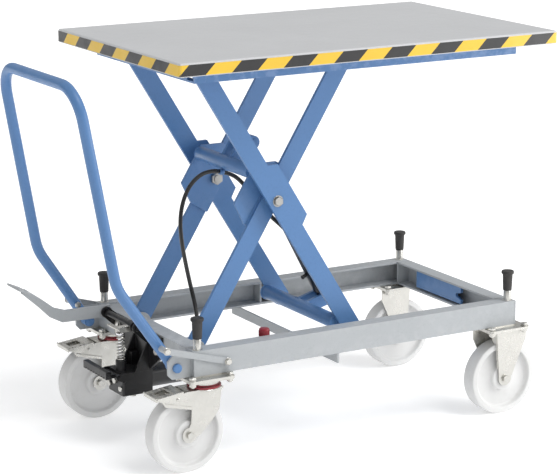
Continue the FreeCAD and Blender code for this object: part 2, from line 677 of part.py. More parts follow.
def pump_body():
    """Valve block, plunger barrel, release-pedal ears and the hose union."""
    block = box(*BLOCK_X, *BLOCK_Y, *BLOCK_Z)
    upright = [e for e in block.Edges if abs(e.tangentAt(e.FirstParameter).z) > 0.9
               and e.BoundBox.XMax < BLOCK_X[0] + 1]
    block = block.makeFillet(6.0, upright)
    barrel = rod_z(PLUNGER_X, PUMP_Y, 14.0, BLOCK_Z[1] - 1, 228.0)
    ears = [prism_y([(BLOCK_X[0] + 8, 176), (BLOCK_X[0] - 8, 184), (BLOCK_X[0] - 8, 202),
                     (BLOCK_X[0] + 8, 202)], ya, ya + 6) for ya in (BLOCK_Y[0], BLOCK_Y[1] - 6)]
    eyes = [rod_y(RELEASE_PIVOT, 9.0, ya, ya + 6) for ya in (BLOCK_Y[0], BLOCK_Y[1] - 6)]
    body = fuse(block, barrel, *ears, *eyes)
    body = body.cut(rod_z(PLUNGER_X, PUMP_Y, 6.5 + RUN_GAP, 170.0, 230.0))
    body = body.cut(rod_y(RELEASE_PIVOT, 5.0 + RUN_GAP, -60.0, 60.0))
    x, y, z = HOSE_LOWER[0]
    neck = rod((BLOCK_X[1] - 20, y, z), (x, y, z), HOSE_NECK_R)
    nut = hexagon(x - 14.0, y, z, 19.0, 14.0, (1, 0, 0))
    boss = box(BLOCK_X[1] - 20, BLOCK_X[1], y - 12, y + 5.5, BLOCK_Z[1] - 6, z + 12)
    return [body.fuse(boss).cut(neck), fuse(neck, nut)]


def pump_reservoir():
    """Oil tank lying under the frame, behind the bracket."""
    tank = rod((-FRAME_HALF_X, -9.0, RESERVOIR_Z), (-340.0, -9.0, RESERVOIR_Z), RESERVOIR_R)
    flange = rod((-FRAME_HALF_X, -9.0, RESERVOIR_Z), (-FRAME_HALF_X + 8, -9.0, RESERVOIR_Z), 34.0)
    cap = rod((-340.0, -9.0, RESERVOIR_Z), (-334.0, -9.0, RESERVOIR_Z), 22.0)
    return [fuse(tank, flange, cap)]


def pump_pedal():
    """Bar on edge that runs back and curves up to a foot plate."""
    y0, y1 = PUMP_PEDAL_Y - 5.0, PUMP_PEDAL_Y + 5.0
    x, z = PEDAL_SHAFT
    top = [(x + 14, z + 18), (-640, 333), (-672, 344), (-710, 374), (-752, 404)]
    low = [(-762, 394), (-716, 352), (-684, 320), (-650, 302), (x + 14, z - 14)]
    bar = prism_y(top + low, y0, y1)
    plate = prism_y([(-750, 401), (-783, 416), (PEDAL_TIP_X, 411), (-752, 396)],
                    PUMP_PEDAL_Y - 38, PUMP_PEDAL_Y + 38)
    return [fuse(bar, plate).cut(rod_y(PEDAL_SHAFT, 9.0, y0 - 1, y1 + 1))]


def pump_shaft():
    """Pedal shaft with the pusher arm that bears on the plunger."""
    x, z = PEDAL_SHAFT
    shaft = rod_y(PEDAL_SHAFT, 9.0, -50.0, PUMP_PEDAL_Y + 8.0)
    arm = box(PLUNGER_X, x, PUMP_Y - 8, PUMP_Y + 8, z - 12, z + 3)
    nose = rod_y((PLUNGER_X, z - 5.0), 8.0, PUMP_Y - 8, PUMP_Y + 8)
    hub = rod_y(PEDAL_SHAFT, 14.0, PUMP_Y - 12, PUMP_Y + 12)
    return [fuse(shaft, arm, nose, hub)]


def pump_plunger():
    stem = rod_z(PLUNGER_X, PUMP_Y, 6.5, 196.0, PLUNGER_TOP)
    cap = rod_z(PLUNGER_X, PUMP_Y, 12.0, PLUNGER_TOP - 5.0, PLUNGER_TOP)
    return [fuse(stem, cap)]


def plunger_spring():
    """Envelope of the return spring between the pump barrel and the plunger's cap."""
    coil = rod_z(PLUNGER_X, PUMP_Y, 11.0, 228.0, PLUNGER_TOP - 5.0)
    return [coil.cut(rod_z(PLUNGER_X, PUMP_Y, 7.2, 220.0, PLUNGER_TOP))]


def release_pedal():
    """Toothed bar across the pump that opens the lowering valve."""
    y0, y1 = -30.0, 104.0
    shaft = rod_y(RELEASE_PIVOT, 5.0, BLOCK_Y[0] - 4, BLOCK_Y[1] + 4)
    arms = [box(-602.0, RELEASE_PIVOT[0], ya, ya + 8, 188.0, 198.0) for ya in (-30.0, 12.0)]
    bar = box(-612.0, -598.0, y0, y1, 186.0, 206.0)
    teeth = [box(-613.0, -597.0, y, y + 7.0, 185.0, 190.0)
             for y in [y0 + 8 + 15 * k for k in range(8)]]
    for tooth in teeth:
        bar = bar.cut(tooth)
    return [fuse(shaft, *arms, bar)]


# ---------------------------------------------------------------- scissor arms
def arm(place, y_span, bump, holes):
    """Flat bar with rounded ends; bump is the reinforcement's outline, or empty."""
    half = ARM_WIDTH / 2
    outline = [(-ARM_HALF, -half), (ARM_HALF, -half), (ARM_HALF, half)] + bump
    outline += [(-ARM_HALF, half)]
    bar = prism_y([place(a, s) for a, s in outline], *y_span)
    for a in (-ARM_HALF, ARM_HALF):
        bar = bar.fuse(rod_y(place(a, 0), half, *y_span))
    for a, r in holes:
        bar = bar.cut(rod_y(place(a, 0), r, y_span[0] - 1, y_span[1] + 1))
    return bar.removeSplitter()


def outer_arm():
    half = ARM_WIDTH / 2
    bump = [(GUSSET_BASE, half), (GUSSET_TOP, half + GUSSET_RISE),
            (-GUSSET_TOP, half + GUSSET_RISE), (-GUSSET_BASE, half)]
    return arm(outer, (-OUTER_ARM_Y[1], -OUTER_ARM_Y[0]), bump,
               [(0, CENTRE_PIN_R + 4), (-ARM_HALF, END_PIN_R), (ARM_HALF, STUB_R)])


def inner_arm():
    return arm(inner, (-INNER_ARM_Y[1], -INNER_ARM_Y[0]), [],
               [(0, CENTRE_PIN_R), (-ARM_HALF, END_PIN_R + 4), (ARM_HALF, STUB_R)])


def outer_arm_bushes():
    y0, y1 = -OUTER_ARM_Y[1], -OUTER_ARM_Y[0]
    return both_sides([ring_y(CENTRE, CENTRE_PIN_R + 4, CENTRE_PIN_R + RUN_GAP, y0, y1)])


def inner_arm_bushes():
    place = (PIVOT_X, BASE_PIVOT_Z)
    y0, y1 = -INNER_ARM_Y[1] - 1.0, -INNER_ARM_Y[0] + 1.0
    return both_sides([ring_y(place, END_PIN_R + 4, END_PIN_R + RUN_GAP, y0, y1)])


def roller_stub(place, y_arm, roller_y):
    """Stub shaft fixed in an arm end, with a collar each side of its roller."""
    far = roller_y + ROLLER_WIDTH
    shaft = rod_y(place, STUB_R, -far - 3.0, -y_arm[0])
    collar = rod_y(place, 16.0, -roller_y + 0.4, -roller_y + 5.0)
    end = rod_y(place, 15.0, -far - 3.0, -far - 0.4)
    return fuse(shaft, collar, end)


def outer_arm_pins():
    """Upper pivot pins and the lower rollers' stub shafts."""
    place = (PIVOT_X, TOP_PIVOT_Z)
    pin = fuse(rod_y(place, END_PIN_R, -208.0, -166.0), rod_y(place, 15.0, -208.0, -204.5),
               rod_y(place, 13.0, -169.5, -167.0))
    stub = roller_stub((ROLLER_X, BASE_PIVOT_Z), OUTER_ARM_Y, BASE_ROLLER_Y)
    return both_sides([pin, stub])


def inner_arm_pins():
    """Centre pins with their shoulders and nuts, and the upper rollers' stub shafts."""
    y_out = OUTER_ARM_Y[1] + 0.5
    shank = rod_y(CENTRE, CENTRE_PIN_R, -y_out, -LEVER_PLATE_Y[0] + 16.0)
    head = rod_y(CENTRE, 16.0, -y_out - 6.0, -y_out)
    shoulder = ring_y(CENTRE, 17.0, CENTRE_PIN_R, -OUTER_ARM_Y[0] + 0.4, -INNER_ARM_Y[1])
    nut = hexagon(CENTRE[0], -LEVER_PLATE_Y[0], CENTRE[1], 30.0, 13.0, (0, 1, 0))
    stub = roller_stub((ROLLER_X, TOP_PIVOT_Z), INNER_ARM_Y, TOP_ROLLER_Y)
    return both_sides([fuse(shank, head, shoulder, nut), stub])


def roller(z, r, y0):
    """Plastic track roller with crowned edges."""
    chamfer = 2.0
    y1 = y0 + ROLLER_WIDTH
    profile = [(STUB_R + RUN_GAP, y0), (r - chamfer, y0), (r, y0 + chamfer), (r, y1 - chamfer),
               (r - chamfer, y1), (STUB_R + RUN_GAP, y1)]
    pts = [V(ROLLER_X, -y, z + rad) for rad, y in profile]
    face = Part.Face(Part.makePolygon(pts + pts[:1]))
    return face.revolve(V(ROLLER_X, 0, z), V(0, 1, 0), 360)


def lever_tube():
    """Cross tube with its side plates on the inner arms, and the rod-end lugs."""
    half = ARM_WIDTH / 2
    place = inner(*LEVER_TUBE)
    tube = rod_y(place, LEVER_TUBE_R, -LEVER_PLATE_Y[0], LEVER_PLATE_Y[0])
    outline = [(-LEVER_BASE, -half), (LEVER_BASE, -half), (LEVER_BASE, half + 6),
               (LEVER_TOP, LEVER_HEIGHT), (-LEVER_TOP, LEVER_HEIGHT), (-LEVER_BASE, half + 6)]
    plate = prism_y([inner(a, s) for a, s in outline], -LEVER_PLATE_Y[1], -LEVER_PLATE_Y[0])
    plate = plate.cut(rod_y(CENTRE, CENTRE_PIN_R, -LEVER_PLATE_Y[1] - 1, -LEVER_PLATE_Y[0] + 1))
    lug_line = [(28, 66), (28, 84), (98, 84), (126, 61), (ROD_EYE[0] + 18, ROD_EYE[1]),
                (ROD_EYE[0], ROD_EYE[1] - 18), (96, 34)]
    lug = prism_y([inner(a, s) for a, s in lug_line], -LUG_Y[1], -LUG_Y[0])
    lug = fuse(lug, rod_y(inner(*ROD_EYE), ROD_EYE_R, -LUG_Y[1], -LUG_Y[0])).cut(tube)
    lug = lug.cut(rod_y(inner(*ROD_EYE), END_PIN_R, -LUG_Y[1] - 1, -LUG_Y[0] + 1))
    stub_pin = rod_y(inner(*ROD_EYE), END_PIN_R, -LUG_Y[1] - 6.0, -LUG_Y[0] - 0.2)
    clip = rod(by_clip(-CLIP_HALF), by_clip(CLIP_HALF), 8.0).cut(tube)
    return [tube, clip] + both_sides([plate, lug, stub_pin])


def lower_cross_tube():
    """Cross tube between the outer arms, with the cylinder's base lugs and pin."""
    place, pin = outer(*LOWER_TUBE), outer(*BASE_EYE)
    tube = rod_y(place, LOWER_TUBE_R, -OUTER_ARM_Y[0], OUTER_ARM_Y[0])
    lug_line = [(LOWER_TUBE[0] - 16, LOWER_TUBE[1] + 4), (BASE_EYE[0] - 18, BASE_EYE[1]),
                (BASE_EYE[0] + 18, BASE_EYE[1]), (LOWER_TUBE[0] + 17, LOWER_TUBE[1] + 4)]
    lug = prism_y([outer(a, s) for a, s in lug_line], -LUG_Y[1], -LUG_Y[0])
    lug = fuse(lug, rod_y(pin, 18.0, -LUG_Y[1], -LUG_Y[0]))
    body = fuse(tube, lug, other_side(lug))
    pin_solid = fuse(rod_y(pin, END_PIN_R, -LUG_Y[1] - 4.0, LUG_Y[1] + 4.0),
                     rod_y(pin, 14.0, -LUG_Y[1] - 4.0, -LUG_Y[1]),
                     rod_y(pin, 14.0, LUG_Y[1], LUG_Y[1] + 4.0))
    return [body.cut(pin_solid), pin_solid]


# ---------------------------------------------------------------- hydraulic cylinder
def cylinder_axis():
    """Base eye, unit vector towards the rod eye, and the distance between them."""
    (x0, z0), (x1, z1) = outer(*BASE_EYE), inner(*ROD_EYE)
    length = math.hypot(x1 - x0, z1 - z0)
    return (x0, z0), ((x1 - x0) / length, (z1 - z0) / length), length


def along_cylinder(s):
    (x0, z0), (ux, uz), _ = cylinder_axis()
    return (x0 + s * ux, 0.0, z0 + s * uz)


def cylinder_barrel():
    """Barrel, base eye, screwed gland, hose port and bleed screw near the base."""
    base = (along_cylinder(0)[0], along_cylinder(0)[2])
    gland_bottom, gland_top = BARREL_LENGTH + 4 - GLAND_LENGTH, BARREL_LENGTH + 4
    barrel = rod(along_cylinder(BARREL_START), along_cylinder(BARREL_LENGTH), BARREL_R)
    bore = rod(along_cylinder(BORE_START), along_cylinder(BARREL_LENGTH + 1), BARREL_BORE_R)
    gland = rod(along_cylinder(gland_bottom), along_cylinder(gland_top), BARREL_R + 2)
    gland = gland.cut(rod(along_cylinder(gland_bottom - 2), along_cylinder(gland_top + 2),
                          ROD_R + RUN_GAP))
    eye = rod_y(base, 19.0, -EYE_HALF_Y, EYE_HALF_Y)
    neck = rod(along_cylinder(8), along_cylinder(BARREL_START + 2), 15.0)
    shell = fuse(barrel.cut(bore), neck, eye).cut(rod_y(base, END_PIN_R + RUN_GAP, -40.0, 40.0))
    x, _, z = along_cylinder(PORT_ALONG)
    union = fuse(rod((x, -BARREL_R + 3, z), (x, PORT_Y, z), HOSE_NECK_R),
                 hexagon(x, PORT_Y, z, 19.0, 14.0, (0, 1, 0)))
    _, (ux, uz), _ = cylinder_axis()
    x, _, z = along_cylinder(BLEED_ALONG)
    bleed = rod((x - 23 * uz, 0, z + 23 * ux), (x - 35 * uz, 0, z + 35 * ux), 5.0)
    return [fuse(shell, gland), union.cut(barrel), bleed.cut(barrel)]


def cylinder_rod():
    """Chromed rod with its rod end and its piston, which is at the top of the bore."""
    _, _, length = cylinder_axis()
    end = (along_cylinder(length)[0], along_cylinder(length)[2])
    piston_top = BARREL_LENGTH + 4 - GLAND_LENGTH - 1.0
    stem = rod(along_cylinder(piston_top), along_cylinder(length - 10), ROD_R)
    piston = rod(along_cylinder(piston_top - PISTON_LENGTH), along_cylinder(piston_top),
                 BARREL_BORE_R - RUN_GAP)
    eye = rod_y(end, ROD_EYE_R, -EYE_HALF_Y, EYE_HALF_Y)
    return [fuse(stem, piston, eye).cut(rod_y(end, END_PIN_R + RUN_GAP, -40.0, 40.0))]


# ---------------------------------------------------------------- platform
def platform_deck():
    """Plate with its edge folded down all round."""
    hx, hy = DECK_LENGTH / 2, DECK_WIDTH / 2
    outside = box(-hx, hx, -hy, hy, DECK_TOP - SKIRT_HEIGHT, DECK_TOP)
    def is_folded(e):
        b = e.BoundBox
        upright = b.ZLength > 1 and b.XLength < 0.1 and b.YLength < 0.1
        on_top = b.ZMin > DECK_TOP - 0.1
        return upright or on_top
    outside = outside.makeFillet(DECK_FOLD_RADIUS, [e for e in outside.Edges if is_folded(e)])
    hollow = box(-hx + SKIRT_WALL, hx - SKIRT_WALL, -hy + SKIRT_WALL, hy - SKIRT_WALL,
                 DECK_TOP - SKIRT_HEIGHT - 1, DECK_TOP - DECK_THICK)
    return [outside.cut(hollow)]


def platform_subframe():
    """Side channels for the upper rollers, end members, and lugs for the outer arms."""
    web = box(-SUB_HALF_X, SUB_HALF_X, -SUB_HALF_Y, -SUB_HALF_Y + SUB_WALL, SUB_BOTTOM, SUB_TOP)
    low = box(-SUB_HALF_X, SUB_HALF_X, -SUB_HALF_Y, -SUB_HALF_Y + SUB_FLANGE,
              SUB_BOTTOM, SUB_BOTTOM + SUB_WALL)
    top = box(-SUB_HALF_X, SUB_HALF_X, -SUB_HALF_Y, -SUB_HALF_Y + SUB_FLANGE,
              SUB_TOP - SUB_WALL, SUB_TOP)
    side = fuse(web, low, top)
    reach = SUB_HALF_Y - SUB_FLANGE
    ends = []
    for sign in (-1, 1):
        w0, w1 = sorted((sign * SUB_HALF_X, sign * (SUB_HALF_X - SUB_WALL)))
        f0, f1 = sorted((sign * SUB_HALF_X, sign * (SUB_HALF_X - 22.0)))
        ends.append(fuse(box(w0, w1, -reach, reach, SUB_BOTTOM, SUB_TOP),
                         box(f0, f1, -reach, reach, SUB_BOTTOM, SUB_BOTTOM + SUB_WALL),
                         box(f0, f1, -reach, reach, SUB_TOP - SUB_WALL, SUB_TOP)))
    lugs = []
    place = (PIVOT_X, TOP_PIVOT_Z)
    for y0, y1 in ((-204.0, -196.0), (-178.0, -170.0)):
        plate = box(PIVOT_X - 25, PIVOT_X + 25, y0, y1, TOP_PIVOT_Z, SUB_TOP)
        lug = fuse(plate, rod_y(place, 25.0, y0, y1))
        lugs.append(lug.cut(rod_y(place, END_PIN_R + RUN_GAP, y0 - 1, y1 + 1)))
    return both_sides([side]) + ends + both_sides(lugs)


# ---------------------------------------------------------------- hydraulic hose
def hose_upper_points():
    x, _, z = along_cylinder(PORT_ALONG)
    return HOSE_UPPER + [(x, PORT_Y - 34.0, z), (x, PORT_Y, z)]


def hose(name, points):
    wire, radii = rounded_path([V(*p) for p in points])
    print(name, "length", round(wire.Length, 1), "radii", [round(r) for r in radii])
    return [pipe(wire, HOSE_D / 2)]


# ---------------------------------------------------------------- the sub-parts
def right_and_left(name, shape):
    return {name + "_right": [shape], name + "_left": [other_side(shape)]}


def sub_parts():
    parts = {}
    parts.update(right_and_left("side_rail", side_rail()))
    parts["end_rail_operator"] = [operator_end_rail()]
    parts["end_rail_far"] = [far_end_rail()]
    parts["cross_member"] = [cross_member()]
    parts["arm_pivot_lugs"] = arm_pivot_lugs()
    parts["castor_mounting_plates"] = castor_mounting_plates()
    parts["buffer_posts"] = buffer_posts()
    parts["rubber_buffers"] = rubber_buffers()
    parts["roller_stops"] = roller_stops()
    parts["service_prop"] = service_prop()
    parts["lock_pin_bracket"] = lock_pin_bracket()
    parts["lock_pin"] = lock_pin()
    parts["frame_fasteners"] = (castor_fasteners() + pump_fasteners() + handle_fasteners()
                                + base_pivot_pins())

    fixed = at_y(fixed_fork(), -CASTOR_Y)
    parts["fixed_castor_forks"] = both_sides([fixed])
    parts["fixed_castor_axles"] = both_sides([at_y(axle(FIXED_X), -CASTOR_Y)])
    parts["swivel_castor_plates"] = both_sides([at_y(swivel_plate(), -CASTOR_Y)])
    parts["swivel_seals"] = both_sides([at_y(swivel_seal(), -CASTOR_Y)])
    parts.update(right_and_left("swivel_fork", at_y(swivel_fork(), -CASTOR_Y)))
    parts.update(right_and_left("swivel_axle", at_y(axle(SWIVEL_AXLE_X), -CASTOR_Y)))
    parts.update(right_and_left("brake_pedal", at_y(brake_pedal(), -CASTOR_Y)))
    parts.update(right_and_left("swivel_wheel", at_y(wheel(SWIVEL_AXLE_X), -CASTOR_Y)))
    parts.update(right_and_left("fixed_wheel", at_y(wheel(FIXED_X), -CASTOR_Y)))

    parts["push_handle"] = [push_handle()]
    parts["handle_ears"] = handle_ears()
    parts["handle_pivot_pins"] = handle_pivot_pins()
    parts["handle_stays"] = handle_stays()

    parts["pump_bracket"] = [pump_bracket()]
    parts["pump_body"] = pump_body()
    parts["pump_reservoir"] = pump_reservoir()
    parts["pump_pedal"] = pump_pedal()
    parts["pump_shaft"] = pump_shaft()
    parts["pump_plunger"] = pump_plunger()
    parts["plunger_spring"] = plunger_spring()
    parts["release_pedal"] = release_pedal()

    parts.update(right_and_left("outer_arm", outer_arm()))
    parts["lower_cross_tube"] = lower_cross_tube()
    parts["outer_arm_pins"] = outer_arm_pins()
    parts["outer_arm_bushes"] = outer_arm_bushes()
    parts.update(right_and_left("inner_arm", inner_arm()))
    parts["lever_tube"] = lever_tube()
    parts["inner_arm_pins"] = inner_arm_pins()
    parts["inner_arm_bushes"] = inner_arm_bushes()
    parts.update(right_and_left("lower_roller", roller(BASE_PIVOT_Z, BASE_ROLLER_R, BASE_ROLLER_Y)))
    parts.update(right_and_left("upper_roller", roller(TOP_PIVOT_Z, TOP_ROLLER_R, TOP_ROLLER_Y)))
    parts["cylinder_barrel"] = cylinder_barrel()
    parts["cylinder_rod"] = cylinder_rod()

    parts["platform_deck"] = platform_deck()
    parts["platform_subframe"] = platform_subframe()
    parts["hose_lower"] = hose("hose_lower", HOSE_LOWER)
    parts["hose_upper"] = hose("hose_upper", hose_upper_points())
    return parts


def main():
    os.makedirs("parts", exist_ok=True)
    parts = sub_parts()
    for name, solids in parts.items():
        shape = solids[0] if len(solids) == 1 else Part.makeCompound(solids)
        shape.translate(V(ORIGIN_X, 0, ORIGIN_Z))
        shape.exportStep(os.path.join("parts", name + ".step"))
    print(len(parts), "sub-parts; frame centre at x =", ORIGIN_X)


main()
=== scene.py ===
import bpy
import bmesh
import json
import math
from mathutils import Matrix, Vector


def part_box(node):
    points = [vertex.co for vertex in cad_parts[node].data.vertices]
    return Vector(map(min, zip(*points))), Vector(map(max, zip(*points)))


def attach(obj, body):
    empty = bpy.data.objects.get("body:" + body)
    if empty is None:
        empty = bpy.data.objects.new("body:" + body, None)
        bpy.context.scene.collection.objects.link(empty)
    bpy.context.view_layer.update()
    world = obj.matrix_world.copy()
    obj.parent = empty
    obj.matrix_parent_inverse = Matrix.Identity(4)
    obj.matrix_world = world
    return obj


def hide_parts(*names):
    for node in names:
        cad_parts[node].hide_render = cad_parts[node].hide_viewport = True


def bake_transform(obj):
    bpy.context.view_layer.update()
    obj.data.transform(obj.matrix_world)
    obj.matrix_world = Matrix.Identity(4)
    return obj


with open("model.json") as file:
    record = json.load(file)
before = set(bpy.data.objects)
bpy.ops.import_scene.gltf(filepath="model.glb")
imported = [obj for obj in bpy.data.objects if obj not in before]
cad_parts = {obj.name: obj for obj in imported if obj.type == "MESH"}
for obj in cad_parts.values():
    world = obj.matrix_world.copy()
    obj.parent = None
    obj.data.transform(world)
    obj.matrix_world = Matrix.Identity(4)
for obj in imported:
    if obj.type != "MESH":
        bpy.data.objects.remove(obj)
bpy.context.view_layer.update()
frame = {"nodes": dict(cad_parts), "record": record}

# Pieces are written in millimetres about the middle of the base frame, as the CAD is.
MM = 0.001
DECK_LOW, DECK_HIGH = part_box("platform_deck")
MIDDLE_X = (DECK_LOW.x + DECK_HIGH.x) / 2
FLOOR_Z = DECK_HIGH.z - 1.039

# scissor geometry at rest
ARM_HALF = 430.0
PIVOT_X, BASE_PIVOT_Z, TOP_PIVOT_Z = -425.0, 273.5, 1004.0
THETA = math.asin((TOP_PIVOT_Z - BASE_PIVOT_Z) / (2 * ARM_HALF))
COS, SIN = math.cos(THETA), math.sin(THETA)
CENTRE = (PIVOT_X + ARM_HALF * COS, BASE_PIVOT_Z + ARM_HALF * SIN)
ROLLER_X = PIVOT_X + 2 * ARM_HALF * COS

# castors
WHEEL_Z = 95.0
FIXED_X, SWIVEL_X, SWIVEL_AXLE_X, CASTOR_Y = 455.0, -450.0, -507.0, 256.0
FORK_INNER, FORK_OUTER = 27.5, 31.0
CASTOR_BOLT_X, CASTOR_BOLT_Y = 52.5, 40.0
BRAKE_X, BRAKE_Z, BRAKE_HALF_Y = -541.0, 194.0, 35.0
SIDES = (("right", -1), ("left", 1))

# base frame and handle
RAIL_OUTER_Y = 286.0
BUFFER_X, BUFFER_Y = 472.0, 264.0
HANDLE_PIN = (-532.0, 268.0)
STAY_BOLT_TUBE, STAY_BOLT_RAIL = (-568.0, 320.0), (-397.0, 270.0)
LOCK_X, LOCK_Y = -258.0, -224.0

# foot pump
PLUNGER_X, PLUNGER_Y = -560.0, -12.0
SHAFT_X, SHAFT_Z = -525.0, 314.0
PUMP_BOLTS = ((126.0, 284.0), (126.0, 262.0), (-96.0, 284.0), (-96.0, 262.0))


def at(x, y, z):
    """A place in millimetres as a point in the scene."""
    return Vector((x * MM + MIDDLE_X, y * MM, z * MM + FLOOR_Z))


def outer(along, square):
    """Place on the outer arms: distances along and square to them from the centre pin."""
    return (CENTRE[0] + along * COS + square * SIN, CENTRE[1] - along * SIN + square * COS)


def inner(along, square):
    """The same on the inner arms."""
    return (CENTRE[0] + along * COS - square * SIN, CENTRE[1] + along * SIN + square * COS)


LEVER_TUBE = inner(37.0, 76.0)
CYLINDER_FOOT, CYLINDER_EYE = outer(412.0, 50.0), inner(115.0, 45.0)


# ---------------------------------------------------------------- materials
def new_material(name):
    mat = bpy.data.materials.new(name)
    mat.use_nodes = True
    tree = mat.node_tree
    shader = tree.nodes["Principled BSDF"]
    place = tree.nodes.new("ShaderNodeTexCoord")
    return mat, tree, shader, place


def noise_node(tree, place, scale, detail=3.0, stretch=None):
    node = tree.nodes.new("ShaderNodeTexNoise")
    node.inputs["Scale"].default_value = scale
    node.inputs["Detail"].default_value = detail
    source = place.outputs["Object"]
    if stretch:
        mapping = tree.nodes.new("ShaderNodeMapping")
        mapping.inputs["Scale"].default_value = stretch
        tree.links.new(source, mapping.inputs["Vector"])
        source = mapping.outputs["Vector"]
    tree.links.new(source, node.inputs["Vector"])
    return node.outputs["Fac"]


def spread(tree, value, low, high, from_low=0.3, from_high=0.7):
    node = tree.nodes.new("ShaderNodeMapRange")
    for key, number in (("From Min", from_low), ("From Max", from_high),
                        ("To Min", low), ("To Max", high)):
        node.inputs[key].default_value = number
    tree.links.new(value, node.inputs["Value"])
    return node.outputs["Result"]


def two_colours(tree, value, a, b, low=0.3, high=0.7):
    ramp = tree.nodes.new("ShaderNodeValToRGB")
    ramp.color_ramp.elements[0].position, ramp.color_ramp.elements[1].position = low, high
    ramp.color_ramp.elements[0].color = (*a, 1)
    ramp.color_ramp.elements[1].color = (*b, 1)
    tree.links.new(value, ramp.inputs["Fac"])
    return ramp.outputs["Color"]


def mix_colours(tree, factor, a, b):
    node = tree.nodes.new("ShaderNodeMix")
    node.data_type = "RGBA"
    tree.links.new(factor, node.inputs["Factor"])
    tree.links.new(a, node.inputs["A"])
    tree.links.new(b, node.inputs["B"])
    return node.outputs["Result"]


def add_bump(tree, shader, heights):
    """Bumps stacked on each other; heights are (value, strength, distance)."""
    last = None
    for value, strength, distance in heights:
        bump = tree.nodes.new("ShaderNodeBump")
        bump.inputs["Strength"].default_value = strength
        bump.inputs["Distance"].default_value = distance
        tree.links.new(value, bump.inputs["Height"])
        if last:
            tree.links.new(last, bump.inputs["Normal"])
        last = bump.outputs["Normal"]
    tree.links.new(last, shader.inputs["Normal"])


def tint(colour, k):
    return tuple(min(1.0, c * k) for c in colour)


def powder_coat(name, colour, rough=0.42, worn=(0.62, 0.63, 0.64), peel=1.0):
    """Sprayed powder coat: orange peel, a little colour drift, paler rubbed edges, dust."""
    mat, tree, shader, place = new_material(name)
    drift = two_colours(tree, noise_node(tree, place, 5.0, 4.0),
                        tint(colour, 0.97), tint(colour, 1.03))
    specks = two_colours(tree, noise_node(tree, place, 160.0, 5.0),
                         tint(colour, 0.88), tint(colour, 1.04), 0.36, 0.46)
    body = mix_colours(tree, spread(tree, noise_node(tree, place, 14.0, 2.0), 0.10, 0.4),
                       drift, specks)
    edge = tree.nodes.new("ShaderNodeNewGeometry").outputs["Pointiness"]
    rubbed = tree.nodes.new("ShaderNodeMath")
    rubbed.operation = "MULTIPLY"
    tree.links.new(spread(tree, edge, 0.0, 0.35, 0.54, 0.64), rubbed.inputs[0])
    tree.links.new(spread(tree, noise_node(tree, place, 45.0, 6.0), 0.0, 1.0, 0.45, 0.62),
                   rubbed.inputs[1])
    pale = two_colours(tree, noise_node(tree, place, 90.0, 2.0), tint(worn, 0.85), worn)
    tree.links.new(mix_colours(tree, rubbed.outputs[0], body, pale), shader.inputs["Base Color"])
    tree.links.new(spread(tree, noise_node(tree, place, 24.0, 4.0), rough - 0.06, rough + 0.10),
                   shader.inputs["Roughness"])
    shader.inputs["Specular IOR Level"].default_value = 0.45
    add_bump(tree, shader, [(noise_node(tree, place, 420.0, 2.0), 0.16 * peel, 0.0006),
                            (noise_node(tree, place, 18.0, 2.0), 0.08, 0.002)])
    return mat


def plated(name, colour, rough, metallic, grain=(1.0, 1.0, 1.0), spangle=0.10):
    """Zinc, steel, chrome or bronze: faint crystals, drawn grain and dull patches."""
    mat, tree, shader, place = new_material(name)
    cells = tree.nodes.new("ShaderNodeTexVoronoi")
    cells.inputs["Scale"].default_value = 130.0
    tree.links.new(place.outputs["Object"], cells.inputs["Vector"])
    crystal = two_colours(tree, cells.outputs["Color"],
                          tint(colour, 1 - spangle), tint(colour, 1 + spangle))
    cloud = two_colours(tree, noise_node(tree, place, 22.0, 5.0),
                        tint(colour, 0.94), tint(colour, 1.04))
    share = spread(tree, noise_node(tree, place, 60.0), 0.35, 0.75)
    tree.links.new(mix_colours(tree, share, crystal, cloud), shader.inputs["Base Color"])
    shader.inputs["Metallic"].default_value = metallic
    tree.links.new(spread(tree, noise_node(tree, place, 30.0, 5.0), rough - 0.07, rough + 0.12),
                   shader.inputs["Roughness"])
    add_bump(tree, shader, [(noise_node(tree, place, 300.0, 3.0, grain), 0.10, 0.0004)])
    return mat


def moulded(name, colour, rough, drift=0.05, fine=260.0, strength=0.12, coat=0.0, dust=None):
    """Cast or moulded polymer and rubber: fine skin, soft drift and dust in patches."""
    mat, tree, shader, place = new_material(name)
    soft = two_colours(tree, noise_node(tree, place, 9.0, 3.0),
                       tint(colour, 1 - drift), tint(colour, 1 + drift))
    dusty = dust or tint(colour, 0.9)
    grime = two_colours(tree, noise_node(tree, place, 70.0, 6.0), colour, dusty, 0.5, 0.75)
    share = spread(tree, noise_node(tree, place, 6.0, 5.0), 0.0, 0.7, 0.4, 0.75)
    tree.links.new(mix_colours(tree, share, soft, grime), shader.inputs["Base Color"])
    tree.links.new(spread(tree, noise_node(tree, place, 35.0, 4.0), rough - 0.07, rough + 0.10),
                   shader.inputs["Roughness"])
    shader.inputs["Coat Weight"].default_value = coat
    add_bump(tree, shader, [(noise_node(tree, place, fine, 3.0), strength, 0.0004),
                            (noise_node(tree, place, 40.0, 3.0), 0.05, 0.001)])
    return mat


